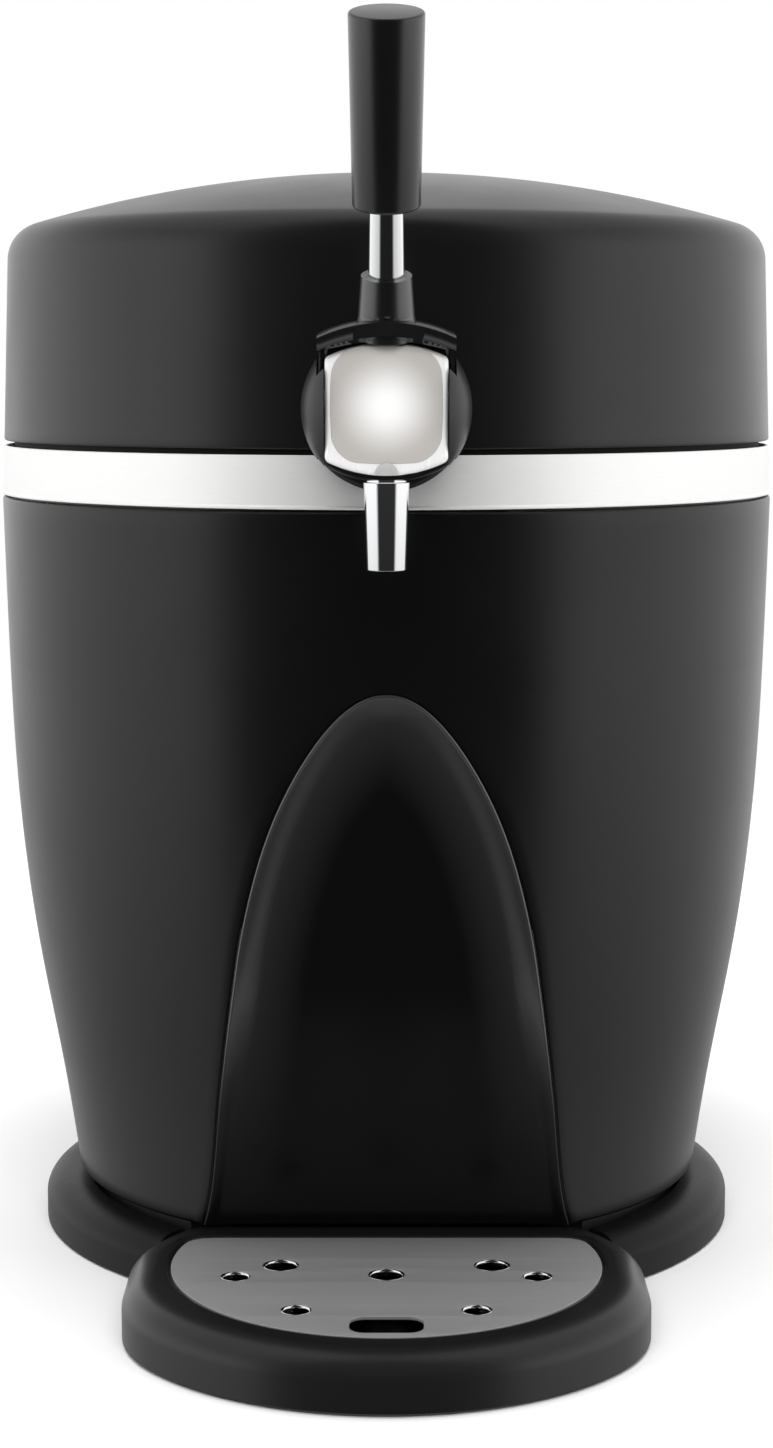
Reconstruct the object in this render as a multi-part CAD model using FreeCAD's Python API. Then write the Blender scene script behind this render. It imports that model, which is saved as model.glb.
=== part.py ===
import FreeCAD, Part
import math
import os

# A counter-top beer dispenser for a five litre keg. Millimetres, +Z up,
# the tap faces -Y, and the barrel's axis is the Z axis on the table.

vec = FreeCAD.Vector
xAxis = vec(1, 0, 0)
yAxis = vec(0, 1, 0)
zAxis = vec(0, 0, 1)

# Keg chamber: the rest is built round it
kegRadius = 90.0
linerDepth = 250.5
linerWall = 1.2
linerFlange = 6.0
foamThickness = 44.8
bodyWall = 3.0
seatGap = 0.1
foamGap = 0.15
runningGap = 0.05
chamberRadius = kegRadius + linerWall
bodyRadius = chamberRadius + foamThickness + bodyWall
far = 5.0 * kegRadius

# Heights, stacked from the table up
baseClear = 0.8
baseFloorTop = 3.0
baseWallTop = 9.0
crestHeight = 17.0
bodyLift = 3.9
linerLift = 13.3
deckThickness = 3.0
neckHeight = 13.2
bodyBottom = crestHeight + bodyLift
linerFloor = bodyBottom + linerLift
deckTop = linerFloor + linerDepth - linerWall
neckTop = deckTop - deckThickness
bodyTop = neckTop - neckHeight
bodyHeight = bodyTop - bodyBottom

# Barrel: how far its side draws in at each share of its height
bodyDraw = (
    (24.5, 0.0),
    (18.9, 0.1506),
    (11.8, 0.3088),
    (4.7, 0.5321),
    (1.4, 0.7877),
    (0.0, 1.0),
)
bodyOutline = [(bodyRadius - draw, bodyBottom + share * bodyHeight) for draw, share in bodyDraw]
bodyFootRadius = bodyOutline[0][0]
neckStep = 2.0
neckRadius = bodyRadius - neckStep
neckLap = 4.0
floorHoleRadius = kegRadius + 6.0

# Arched niche: how far its face sits behind the shoulder at each share of the height
nicheDraw = (
    (46.0, -0.0442),
    (42.2, 0.0),
    (32.7, 0.179),
    (21.4, 0.3535),
    (10.3, 0.5605),
    (1.6, 0.7634),
    (-2.2, 0.8527),
)
nicheOutline = [(bodyRadius - draw, bodyBottom + share * bodyHeight) for draw, share in nicheDraw]
nicheBendCentre = 900.0
nicheFaceDepth = 2.2
nicheBackWall = 2.5
panelThickness = 2.0
panelGap = 0.25
panelInset = 0.5
panelLift = 0.3

# Trim band
bandLift = 0.7
bandHeight = 17.2
bandSet = 0.4
bandTaper = 0.5
bandLipHeight = 1.2
bandLipReach = 0.5
bandBottom = bodyTop + bandLift
bandTop = bandBottom + bandHeight
bandBottomRadius = bodyRadius - bandSet
bandTopRadius = bandBottomRadius - bandTaper

# Lid
lidGap = 1.7
lidBottom = bandTop + lidGap
lidFootRadius = bandTopRadius
lidSlope = 0.034
lidCorner = 13.0
lidDomeRadius = 440.0
lidHeight = 94.6
lidApex = lidBottom + lidHeight
lidWall = 2.8
lidFoamThickness = 4.4
lidLinerWall = 2.0
lidRimHeight = 2.5
notchHalf = 12.5
notchCheek = 2.0
lidInside = lidFootRadius - lidWall - lidFoamThickness - lidLinerWall

# Top deck and its seal
deckHole = chamberRadius + 0.4
deckLipDepth = 8.0
deckLipWall = 2.0
sealWidth = 3.5
sealOuter = neckRadius - 2.5
sealInner = sealOuter - sealWidth
sealTop = lidBottom - 0.2

# Tap, placed by the height of its axis and by how far it stands off the barrel
tapRise = 13.5
tapReach = 33.0
tapZ = lidBottom + tapRise
drumY = -bodyRadius - tapReach
drumRadius = 22.2
drumEdgeRadius = 17.8
drumHalf = 17.8
plugDepth = 6.4
plugFace = drumY - plugDepth
coverDepth = 14.0
coverFace = drumY - coverDepth
coverHalf = drumHalf + 0.7
coverHigh = drumRadius - 2.4
coverEdge = drumEdgeRadius - 2.4
coverWall = 1.6
coverCorner = 2.0
coverRound = 1.2
badgeHalf = coverHalf - 1.6
badgeHigh = coverHigh - 2.3
badgeBow = 0.9
badgeCorner = 7.5
badgeDepth = 0.8
badgeProud = 0.2
collarDepth = 8.8
collarBack = -bodyRadius - 1.2
collarFront = collarBack - collarDepth
collarRadius = 26.5
tapNeckRadius = 10.0
neckFlangeRadius = 13.0
neckFlange = 2.4
neckSpigotRadius = 8.0
neckSpigot = 9.0
neckBore = 4.0
towerDepth = 8.0
towerHalf = 16.0
towerFront = -bodyRadius + 17.0
towerBack = towerFront + towerDepth
nutRadius = 14.2
nutDepth = 6.0
neckEnd = towerBack + nutDepth + 1.0
spoutLength = 26.8
spoutSpigot = 9.6
spoutShoulder = tapZ - drumRadius
spoutTop = spoutShoulder + spoutSpigot
spoutTip = spoutShoulder - spoutLength
spoutTopRadius = 7.0
spoutTipRadius = 6.1
spoutSpigotRadius = 6.0
spoutBore = 4.5

# Valve rotor
rotorRadius = 9.0
rotorPort = 2.8
rotorEndGap = 0.2
rotorEyeRadius = 6.0
driveHalf = 3.5
ringSection = 0.8
ringPlace = 13.0

# Lever, measured along its own leaning axis from the pivot
leverLean = 19.0
leverTravel = 35.0
yokeClear = 0.6
yokeInner = math.hypot(coverDepth, coverHigh) + yokeClear
yokeInnerEdge = math.hypot(coverDepth, coverEdge) + yokeClear
yokeOuter = yokeInner + 2.5
yokeOuterEdge = yokeInnerEdge + 1.0
cheekInner = drumHalf + 1.1
cheekOuter = cheekInner + 2.4
cheekEyeRadius = 8.0
yokeFrontAngle = 36.0
yokeRearAngle = -14.0
stemLength = 16.2
stemStart = yokeInner + 0.7
stemEnd = stemStart + stemLength
stemFootRadius = 8.6
stemHeadRadius = 7.6
stemFlare = 1.6
rodLength = 20.9
rodFootRadius = 5.5
rodHeadRadius = 5.1
rodSink = 12.0
handleLength = 56.6
handleStart = stemEnd + rodLength
handleEnd = handleStart + handleLength
handleFootRadius = 10.1
handleHeadRadius = 11.1
handleRound = 0.8

# Beer line and keg connector
elbowY = neckEnd + 5.5
elbowRadius = 6.5
elbowBore = 1.9
hoseRadius = 4.0
hoseBore = 2.85
barbRadius = 2.8
barbLength = 24.0
connectorX = -kegRadius - 17.0
connectorZ = deckTop + 12.5
connectorStart = -18.0
connectorRadius = 8.0
hoseTrack = kegRadius + 18.2
clipAngle = 46.9
clipHalf = 8.0
clampGrip = 1.2

# Cooling unit
unitZ = bodyBottom + 129.1
unitStart = kegRadius - 30.0
coldHalf = 28.0
coldEnd = bodyRadius - 13.0
probeX = 16.0
probeY = coldEnd - 12.0
probeRadius = 2.5
probeDepth = 17.0
probeStand = 4.0
moduleHalf = 20.0
moduleThickness = 3.6
sinkHalf = 45.0
sinkBase = 6.0
sinkY = coldEnd + moduleThickness
finDepth = 25.4
finEnd = sinkY + sinkBase + finDepth
finCount = 13
finThickness = 1.8
sinkScrewPlace = (coldHalf + moduleHalf) / 2
threadDepth = 10.0
fanHalf = 40.0
fanDepth = 20.0
fanCorner = 4.0
fanBore = fanHalf - 2.5
fanHub = 15.0
fanPin = 1.5
bladeCount = 7
bladeThickness = 1.6
bladeHalf = fanHub / 2
bladeTilt = 38.0
fanHolePlace = fanHalf - 4.25

# Rear housing
housingHalf = 86.0
housingRoom = 9.0
housingEnd = finEnd + fanDepth + housingRoom
housingTop = bodyTop - 5.3
housingWall = 3.0
housingCorner = 18.0
housingRound = 6.0
grilleHalf = 58.0
grilleRise = 68.0
grilleBottom = unitZ - grilleRise
grilleTop = unitZ + grilleRise
grilleThickness = 2.5
grilleCorner = 5.0
grilleScrewInset = 4.5
slotPitch = 13.0
slotHeight = 7.0
socketZ = bodyBottom + 41.1
socketX = housingHalf - 41.0
boardHalf = 48.0
boardThickness = 1.6
boardDepth = 42.0
boardFront = housingEnd - 66.0
boardZ = bodyBottom + housingWall + 9.1
boardTop = boardZ + boardThickness
terminalHeight = 6.0

# Lid hinge
hingeY = lidFootRadius + 8.9
hingeZ = lidBottom - 5.9
knuckleRadius = 4.5
hingePinRadius = 2.0
hingeHalf = 28.0
middleHalf = 9.5
knuckleGap = 0.5
leafBack = hingeY - knuckleRadius
leafHeight = 28.0
leafBottom = lidBottom + 3.1
leafTop = leafBottom + leafHeight
leafCorner = 5.0
hingeScrewHeights = (leafTop - 17.0, leafTop - 7.0)
hingeScrewX = 19.0
hingeScrewHole = 1.6
hingeFootThickness = 2.5
hingeFootX = 20.0
hingeFootScrewY = hingeY + 14.0

# Base
baseRadius = bodyFootRadius + 12.5
crestRadius = bodyFootRadius + 1.0
baseWellRadius = bodyFootRadius - 3.0
rearHalf = housingHalf + 4.0
rearEnd = housingEnd + 4.0
rearCorner = housingCorner + 4.0
rearWell = 6.0
rearRound = 7.0
stripOuter = baseRadius - 4.9
stripInner = stripOuter - 5.2
stripFit = 0.1
panRadius = baseWellRadius - 3.5
panWall = 3.0
panRearHalf = rearHalf - 10.0
panRearEnd = rearEnd - 10.0
panRearCorner = rearCorner - 8.0
bossRadius = 5.0
bossRing = panRadius - 13.5
bossSideY = 22.0
bossBehindTray = 18.4
bossRearX = panRearHalf - 20.0
bossRearY = panRearEnd - 24.0

# Drip tray and plate
trayReach = 92.0
trayDepth = 135.0
trayFront = baseRadius + trayReach
trayBack = trayFront - trayDepth
trayHalf = 86.0
trayCornerX = 26.0
trayBackCornerX = 31.0
trayCentreGap = 32.5
trayCornerRadius = trayHalf - trayCornerX
trayFrontRadius = trayCornerRadius + trayCentreGap
trayBackRadius = trayHalf - trayBackCornerX
trayBackCorner = 42.0
trayCornerY = trayFront - trayFrontRadius + math.sqrt(trayCentreGap ** 2 - trayCornerX ** 2)
trayBackCornerY = trayBack + trayBackCorner
trayTop = crestHeight + 2.4
trayEdge = 5.4
trayGap = 0.6
trayWall = 3.0
trayLip = 1.2
basinFloor = baseFloorTop + 3.0
plateMargin = 14.7
plateRim = 19.4
plateRadius = trayHalf - plateMargin
plateCentre = trayFront - plateRadius - plateRim
plateBack = trayBack + 17.5
plateCorner = 6.0
plateThickness = 1.2
plateTop = trayTop - 1.0
plateGap = 0.6
plateLedge = 4.0
holeLip = 0.9

# Drain holes: shares of the plate's radius across and forward of its centre, and the hole's radius
sideHoles = ((0.4895, 0.031, 5.2), (0.6914, 0.188, 4.1), (0.3997, 0.645, 4.1))
middleHole = (0.0, 0.164, 5.2)
fingerHalf = 11.6
fingerDepth = 14.8
fingerEdge = 4.2
fingerCorner = 5.0


def box(x0, x1, y0, y1, z0, z1):
    return Part.makeBox(x1 - x0, y1 - y0, z1 - z0, vec(x0, y0, z0))


def slab(z0, z1):
    return box(-far, far, -far, far, z0, z1)


def rod(radius, start, end):
    return Part.makeCylinder(radius, (end - start).Length, start, end - start)


def cone(radius0, radius1, start, end):
    return Part.makeCone(radius0, radius1, (end - start).Length, start, end - start)


def tube(outer, inner, start, end):
    return rod(outer, start, end).cut(rod(inner, start, end))


def disc(radius, z0, z1, x=0.0, y=0.0):
    return rod(radius, vec(x, y, z0), vec(x, y, z1))


def ring(outer, inner, z0, z1):
    return disc(outer, z0, z1).cut(disc(inner, z0, z1))


def line(a, b):
    return Part.makeLine(a, b)


def arc(a, b, c):
    return Part.Arc(a, b, c).toShape()


def turned(edges):
    face = Part.Face(Part.Wire(edges))
    return face.revolve(vec(0, 0, 0), zAxis, 360)


def turnedOutline(points):
    corners = [vec(radius, 0, height) for radius, height in points]
    corners.append(corners[0])
    return turned(Part.makePolygon(corners).Edges)


def turnedAcross(points):
    # radius and depth along Y of a shape turned about the tap's axis
    corners = [vec(radius, depth, tapZ) for radius, depth in points]
    corners.append(corners[0])
    face = Part.Face(Part.makePolygon(corners))
    return face.revolve(vec(0, 0, tapZ), yAxis, 360)


def sidePrism(points, x0, x1):
    # points are depth and height
    corners = [vec(x0, y, z) for y, z in points]
    corners.append(corners[0])
    return Part.Face(Part.makePolygon(corners)).extrude(vec(x1 - x0, 0, 0))


def sweep(points, radius, bore=0.0):
    # straight from the first point to the second and into the last, curved between
    places = [vec(*point) for point in points]
    heading = (places[1] - places[0]).normalize()
    ending = (places[-1] - places[-2]).normalize()
    curve = Part.BSplineCurve()
    curve.interpolate(Points=places[1:-1], InitialTangent=heading, FinalTangent=ending)
    path = Part.Wire([line(places[0], places[1]), curve.toShape(), line(places[-2], places[-1])])
    solid = path.makePipeShell([Part.Wire([Part.makeCircle(radius, places[0], heading)])], True, True)
    if bore:
        hole = Part.Wire([Part.makeCircle(bore, places[0], heading)])
        solid = solid.cut(path.makePipeShell([hole], True, True))
    return solid


def both(shape):
    return [shape, shape.mirror(vec(0, 0, 0), xAxis)]


def joined(shapes):
    return shapes[0].multiFuse(shapes[1:]).removeSplitter()


def without(shape, tools):
    for tool in tools:
        shape = shape.cut(tool)
    return shape


def filleted(shape, radius, chosen):
    return shape.makeFillet(radius, [edge for edge in shape.Edges if chosen(edge)])


def level(edge, z):
    box3 = edge.BoundBox
    return abs(box3.ZMin - z) < 0.01 and abs(box3.ZMax - z) < 0.01


def behind(edge, y):
    # an edge whose middle lies clear of the plane at y, on the side away from the tap
    return edge.CenterOfMass.y > y + 5


def upright(edge):
    return edge.BoundBox.XLength < 0.01 and edge.BoundBox.YLength < 0.01


def save(name, shapes):
    if isinstance(shapes, list):
        shape = Part.makeCompound(shapes)
    else:
        shape = shapes
    shape.exportStep("parts/" + name + ".step")


def screw(headRadius, headHeight, shankRadius, length, seat, heading):
    # a pan head outside the seat, and a shank that runs along the heading
    way = vec(heading).normalize()
    head = rod(headRadius, seat - way * headHeight, seat)
    rim = [edge for edge in head.Edges if (edge.CenterOfMass - (seat - way * headHeight)).Length < 0.01]
    head = head.makeFillet(headHeight * 0.45, rim)
    start = seat - way * headHeight
    driver = rod(headRadius * 0.42, start, start + way * headHeight * 0.55)
    shank = rod(shankRadius, seat, seat + way * length)
    return head.cut(driver).fuse(shank).removeSplitter()


# Barrel


def barrel(inset, low, high):
    curve = Part.BSplineCurve()
    curve.interpolate([vec(radius - inset, 0, height) for radius, height in bodyOutline])
    foot = vec(bodyOutline[0][0] - inset, 0, bodyBottom)
    head = vec(bodyOutline[-1][0] - inset, 0, bodyTop)
    under = bodyBottom - 20.0
    over = bodyTop + 20.0
    edges = [
        line(vec(0, 0, under), vec(foot.x, 0, under)),
        line(vec(foot.x, 0, under), foot),
        curve.toShape(),
        line(head, vec(head.x, 0, over)),
        line(vec(head.x, 0, over), vec(0, 0, over)),
        line(vec(0, 0, over), vec(0, 0, under)),
    ]
    return turned(edges).common(slab(low, high))


def niche(shift):
    # everything in front of the niche's face, the face moved back by shift
    points = [vec(0, shift - depth, height) for depth, height in nicheOutline]
    curve = Part.BSplineCurve()
    curve.interpolate(points)
    front = -1.6 * bodyRadius
    edges = [
        curve.toShape(),
        line(points[-1], vec(0, front, points[-1].z)),
        line(vec(0, front, points[-1].z), vec(0, front, points[0].z)),
        line(vec(0, front, points[0].z), points[0]),
    ]
    face = Part.Face(Part.Wire(edges))
    centre = vec(0, -nicheBendCentre, 0)
    half = 9.0
    face.rotate(centre, zAxis, -half)
    return face.revolve(centre, zAxis, 2 * half)


def bodyCavity(inset, low):
    lower = barrel(bodyWall + inset, low, bodyTop - neckLap)
    upper = disc(neckRadius - bodyWall - inset, bodyTop - neckLap, neckTop)
    return lower.fuse(upper)


def unitPocket():
    # the cold block's passage, and the recess for the heat sink's base
    half = sinkHalf + 3.0
    clear = 0.3
    block = coldHalf + clear
    passage = box(-block, block, unitStart, far, unitZ - block, unitZ + block)
    leads = box(-12, 12, coldEnd - 1.0, far, unitZ - half, unitZ)
    recess = box(-half, half, coldEnd + 2.0, far, unitZ - half, unitZ + half)
    probeTop = unitZ + coldHalf + probeStand
    probeRoom = disc(probeRadius + clear, unitZ, probeTop + clear, probeX, probeY)
    return joined([passage, recess, leads, probeRoom])


def makeBody():
    recess = niche(nicheFaceDepth)
    outer = barrel(0.0, bodyBottom, bodyTop)
    outer = outer.fuse(ring(neckRadius, neckRadius - bodyWall, bodyTop - neckLap, neckTop))
    outer = outer.cut(recess)
    floorTop = bodyBottom + bodyWall
    cavity = bodyCavity(0.0, floorTop).cut(niche(nicheFaceDepth + nicheBackWall))
    floorHole = disc(floorHoleRadius, bodyBottom - 1, floorTop + 1)
    floorHole = floorHole.cut(box(-far, far, -far, -trayBack - 2.0, bodyBottom - 2, floorTop + 2))
    shell = outer.cut(cavity).cut(floorHole)
    windowHalf = sinkHalf + 5.0
    window = box(-windowHalf, windowHalf, kegRadius, far, unitZ - windowHalf, unitZ + windowHalf)
    save("body_shell", shell.cut(window).removeSplitter())

    panel = barrel(panelInset, bodyBottom + panelLift, bodyTop)
    panel = panel.common(niche(nicheFaceDepth - panelGap)).cut(niche(nicheFaceDepth - panelThickness))
    save("niche_panel", max(panel.Solids, key=lambda part: part.Volume))

    foam = bodyCavity(foamGap, floorTop + foamGap).common(slab(0, neckTop - foamGap))
    foam = foam.cut(niche(nicheFaceDepth + nicheBackWall + foamGap))
    foam = foam.cut(disc(chamberRadius + foamGap, linerFloor - linerWall, neckTop + 1))
    foam = foam.cut(unitPocket())
    foam = foam.cut(disc(deckHole + deckLipWall + 1.0, neckTop - deckLipDepth - 0.5, neckTop + 1))
    save("body_foam", max(foam.Solids, key=lambda part: part.Volume))

    band = turnedOutline([
        (neckRadius + seatGap, bandBottom),
        (bandBottomRadius + bandLipReach, bandBottom),
        (bandBottomRadius + bandLipReach, bandBottom + bandLipHeight * 0.5),
        (bandBottomRadius, bandBottom + bandLipHeight),
        (bandTopRadius, bandTop),
        (neckRadius + seatGap, bandTop),
    ])
    save("trim_band", band)


def makeLiner():
    flangeRadius = kegRadius + linerFlange
    cup = turnedOutline([
        (0, linerFloor - linerWall),
        (chamberRadius, linerFloor - linerWall),
        (chamberRadius, deckTop),
        (flangeRadius, deckTop),
        (flangeRadius, deckTop + linerWall),
        (kegRadius, deckTop + linerWall),
        (kegRadius, linerFloor),
        (0, linerFloor),
    ])
    save("keg_liner", cup)


def onTrack(angle, z):
    # a place on the deck between the chamber and the seal, the angle counted from the front
    turn = math.radians(angle)
    return vec(-hoseTrack * math.sin(turn), -hoseTrack * math.cos(turn), z)


def makeDeck():
    low = deckTop - 0.5
    deck = ring(neckRadius, deckHole, neckTop, deckTop)
    deck = deck.fuse(ring(deckHole + deckLipWall, deckHole, neckTop - deckLipDepth, neckTop))
    tower = box(-towerHalf, towerHalf, towerFront, towerBack, low, tapZ)
    tower = tower.fuse(rod(towerHalf, vec(0, towerFront, tapZ), vec(0, towerBack, tapZ)))
    gusset = [(towerBack, low), (towerBack + 9, low), (towerBack, tapZ)]
    rib = sidePrism(gusset, towerHalf - 2.0, towerHalf)
    cradleHalf = connectorRadius - 2.0
    cradleStart = connectorStart + 6.0
    cradle = box(-cradleHalf, cradleHalf, cradleStart, cradleStart + 12, low, connectorZ - 3)
    cradle.translate(vec(connectorX, 0, 0))
    clipAt = onTrack(clipAngle, connectorZ + 0.6)
    clip = box(clipAt.x - clipHalf, clipAt.x + clipHalf, clipAt.y - 3, clipAt.y + 3, low, clipAt.z + 2)
    clip.rotate(clipAt, zAxis, 90 - clipAngle)
    deck = joined([deck, tower, cradle, clip] + both(rib))
    bore = rod(tapNeckRadius + runningGap, vec(0, towerFront - 1, tapZ), vec(0, towerBack + 1, tapZ))
    saddle = rod(connectorRadius + seatGap, vec(connectorX, -60, connectorZ), vec(connectorX, 60, connectorZ))
    hoseWay = vec(-math.cos(math.radians(clipAngle)), math.sin(math.radians(clipAngle)), 0)
    slot = rod(hoseRadius + 0.3, clipAt - hoseWay * 12, clipAt + hoseWay * 12)
    throat = hoseRadius - 0.4
    mouth = box(clipAt.x - 20, clipAt.x + 20, clipAt.y - throat, clipAt.y + throat, clipAt.z, clipAt.z + 10)
    mouth.rotate(clipAt, zAxis, 180 - clipAngle)
    save("top_deck", without(deck, [bore, saddle, slot, mouth]))
    save("deck_seal", ring(sealOuter, sealInner, deckTop, sealTop))


# Lid


def lidCorners(inset):
    corner = lidCorner - inset
    dome = lidDomeRadius - inset
    domeZ = lidApex - lidDomeRadius
    tilt = math.atan(lidSlope)
    cornerZ = lidApex - 2 * lidCorner
    for _ in range(40):
        cornerX = lidFootRadius + lidSlope * (lidBottom - cornerZ) - lidCorner / math.cos(tilt)
        cornerZ = domeZ + math.sqrt((lidDomeRadius - lidCorner) ** 2 - cornerX ** 2)
    return corner, dome, domeZ, tilt, cornerX, cornerZ


def lidSolid(inset, low):
    corner, dome, domeZ, tilt, cornerX, cornerZ = lidCorners(inset)
    lean = math.atan2(cornerX, cornerZ - domeZ)

    def onCorner(angle):
        return vec(cornerX + corner * math.sin(angle), 0, cornerZ + corner * math.cos(angle))

    def onDome(angle):
        return vec(dome * math.sin(angle), 0, domeZ + dome * math.cos(angle))

    sideAngle = math.pi / 2 - tilt
    sideTop = onCorner(sideAngle)
    foot = vec(sideTop.x + lidSlope * (sideTop.z - low), 0, low)
    edges = [
        line(vec(0, 0, low), foot),
        line(foot, sideTop),
        arc(sideTop, onCorner((sideAngle + lean) / 2), onCorner(lean)),
        arc(onDome(lean), onDome(lean / 2), onDome(0)),
        line(onDome(0), vec(0, 0, low)),
    ]
    return turned(edges)


def lidNotch(grow):
    half = notchHalf + grow
    outside = -lidFootRadius - 10.0
    inside = -lidInside + 20.0
    slot = rod(half, vec(0, outside, tapZ), vec(0, inside, tapZ))
    return slot.fuse(box(-half, half, outside, inside, lidBottom - 5, tapZ))


def lidScrewHoles(radius):
    holes = []
    for x in (-hingeScrewX, hingeScrewX):
        for z in hingeScrewHeights:
            holes.append(rod(radius, vec(x, lidInside - 5.0, z), vec(x, leafBack + 5.0, z)))
    return holes


def makeLid():
    low = lidBottom - 1.0
    shell = lidSolid(0.0, lidBottom).cut(lidSolid(lidWall, low))
    save("lid_shell", without(shell, [lidNotch(0.0)] + lidScrewHoles(hingeScrewHole)))

    linerOut = lidWall + lidFoamThickness
    core = lidSolid(linerOut + lidLinerWall, low - 1)
    liner = lidSolid(linerOut, low).cut(core).common(slab(lidBottom, far))
    skin = lidSolid(lidWall + seatGap, low).cut(core)
    rim = skin.common(slab(lidBottom, lidBottom + lidRimHeight))
    half = notchHalf + notchCheek
    cheek = skin.common(box(-half, half, -lidFootRadius, -lidInside + 5.0, lidBottom, tapZ + half))
    save("lid_liner", joined([liner, rim, cheek]).cut(lidNotch(0.0)))

    foam = lidSolid(lidWall + foamGap, low).cut(lidSolid(linerOut - foamGap, low - 1))
    foam = foam.common(slab(lidBottom + lidRimHeight + foamGap, far))
    half = half + 0.2
    keepOut = box(-half, half, -lidFootRadius, -lidInside + 15.0, lidBottom - 1, tapZ + half)
    save("lid_foam", without(foam, [keepOut] + lidScrewHoles(hingeScrewHole + 0.4)))


def makeHinge():
    axis0 = vec(-hingeHalf, hingeY, hingeZ)
    axis1 = vec(hingeHalf, hingeY, hingeZ)
    leaf = box(-hingeHalf, hingeHalf, lidInside, leafBack, leafBottom, leafTop)
    leaf = filleted(leaf, leafCorner, lambda edge: level(edge, leafTop) and edge.BoundBox.YLength > 5)
    armTop = leafBottom + 6.0
    arm = sidePrism([
        (lidFootRadius + 1.5, armTop),
        (leafBack, armTop),
        (hingeY + knuckleRadius, hingeZ),
        (hingeY - knuckleRadius, hingeZ),
    ], -hingeHalf, hingeHalf)
    gap = middleHalf + knuckleGap
    middle = box(-gap, gap, hingeY - 17, hingeY + 13, hingeZ - 11, hingeZ + 9)
    pinHole = rod(hingePinRadius, axis0, axis1)
    lidLeaf = joined([leaf, arm, rod(knuckleRadius, axis0, axis1)])
    cuts = [middle, lidSolid(0.0, lidBottom - 1), pinHole]
    lidLeaf = without(lidLeaf, cuts + lidScrewHoles(hingeScrewHole))
    save("lid_hinge_leaf", max(lidLeaf.Solids, key=lambda part: part.Volume))

    footTop = housingTop + hingeFootThickness
    riser = sidePrism([
        (hingeY - 3, housingTop),
        (hingeY + 5, housingTop),
        (hingeY + 4, hingeZ),
        (hingeY - 4, hingeZ),
    ], -middleHalf, middleHalf)
    foot = box(-hingeHalf, hingeHalf, hingeY - 3, hingeY + 22, housingTop, footTop)
    knuckle = rod(knuckleRadius, vec(-middleHalf, hingeY, hingeZ), vec(middleHalf, hingeY, hingeZ))
    bodyLeaf = joined([riser, foot, knuckle]).cut(rod(hingePinRadius + runningGap, axis0, axis1))
    seats = [vec(x, hingeFootScrewY, footTop) for x in (-hingeFootX, hingeFootX)]
    holes = [rod(hingeScrewHole, seat - zAxis * 5, seat + zAxis * 2) for seat in seats]
    save("body_hinge_leaf", without(bodyLeaf, holes))
    save("hinge_pin", pinHole)
    save("body_hinge_screws", [screw(3.2, 2.0, 1.5, 5.0, seat, vec(0, 0, -1)) for seat in seats])
    lidSeats = [vec(x, leafBack, z) for x in (-hingeScrewX, hingeScrewX) for z in hingeScrewHeights]
    length = leafBack - lidInside - 3.1
    save("lid_hinge_screws", [screw(3.2, 2.0, 1.5, length, seat, vec(0, -1, 0)) for seat in lidSeats])


# Base and drip tray


def roundedBlock(half, y0, y1, z0, z1, corner):
    block = box(-half, half, y0, y1, z0, z1)
    return filleted(block, corner, lambda edge: upright(edge) and edge.CenterOfMass.y > y1 - 1)


def around(centre, radius, angle):
    return centre + vec(math.cos(angle), math.sin(angle), 0) * radius


def trayPlan(grow, z0, z1):
    # half the outline on the right, from the front middle to the back, then mirrored
    frontCentre = vec(0, -trayFront + trayFrontRadius, z0)
    cornerCentre = vec(trayCornerX, -trayCornerY, z0)
    backCentre = vec(trayBackCornerX, -trayBackCornerY, z0)
    way = (cornerCentre - frontCentre).normalize()
    frontRadius = trayFrontRadius + grow
    cornerRadius = trayCornerRadius + grow
    backRadius = trayBackRadius + grow
    join = cornerCentre + way * cornerRadius
    joinAngle = math.atan2(way.y, way.x)
    front = vec(0, -trayFront - grow, z0)
    middle = around(frontCentre, frontRadius, (joinAngle - math.pi / 2) / 2)
    side = cornerCentre + vec(cornerRadius, 0, 0)
    cornerMiddle = around(cornerCentre, cornerRadius, joinAngle / 2)
    backSide = backCentre + vec(backRadius, 0, 0)
    rise = (-trayBack + grow) - backCentre.y
    endAngle = math.asin(rise / backRadius)
    backEnd = around(backCentre, backRadius, endAngle)
    backMiddle = around(backCentre, backRadius, endAngle / 2)
    half = [
        arc(front, middle, join),
        arc(join, cornerMiddle, side),
        line(side, backSide),
        arc(backSide, backMiddle, backEnd),
        line(backEnd, vec(0, backEnd.y, z0)),
    ]
    closing = line(vec(0, backEnd.y, z0), front)
    right = Part.Face(Part.Wire(half + [closing])).extrude(vec(0, 0, z1 - z0))
    return right.fuse(right.mirror(vec(0, 0, 0), xAxis)).removeSplitter()


def platePlan(grow, z0, z1):
    round0 = disc(plateRadius + grow, z0, z1, 0, -plateCentre)
    cutBack = box(-far, far, -plateBack + grow, far, z0 - 1, z1 + 1)
    shape = round0.cut(cutBack)
    return filleted(shape, plateCorner + max(grow, -4.0), upright)


def baseSolid():
    foot = vec(baseRadius, 0, baseWallTop)
    crest = vec(crestRadius, 0, crestHeight)
    shoulder = Part.BezierCurve()
    shoulder.setPoles([
        foot,
        vec(baseRadius, 0, baseWallTop + 4.4),
        vec(crestRadius + 6.4, 0, crestHeight),
        crest,
    ])
    low = baseClear
    edges = [
        line(vec(0, 0, low), vec(baseRadius, 0, low)),
        line(vec(baseRadius, 0, low), foot),
        shoulder.toShape(),
        line(crest, vec(0, 0, crestHeight)),
        line(vec(0, 0, crestHeight), vec(0, 0, low)),
    ]
    block = roundedBlock(rearHalf, unitStart, rearEnd, low, crestHeight, rearCorner)
    block = filleted(block, rearRound, lambda edge: level(edge, crestHeight) and behind(edge, unitStart))
    return turned(edges).fuse(block)


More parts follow.
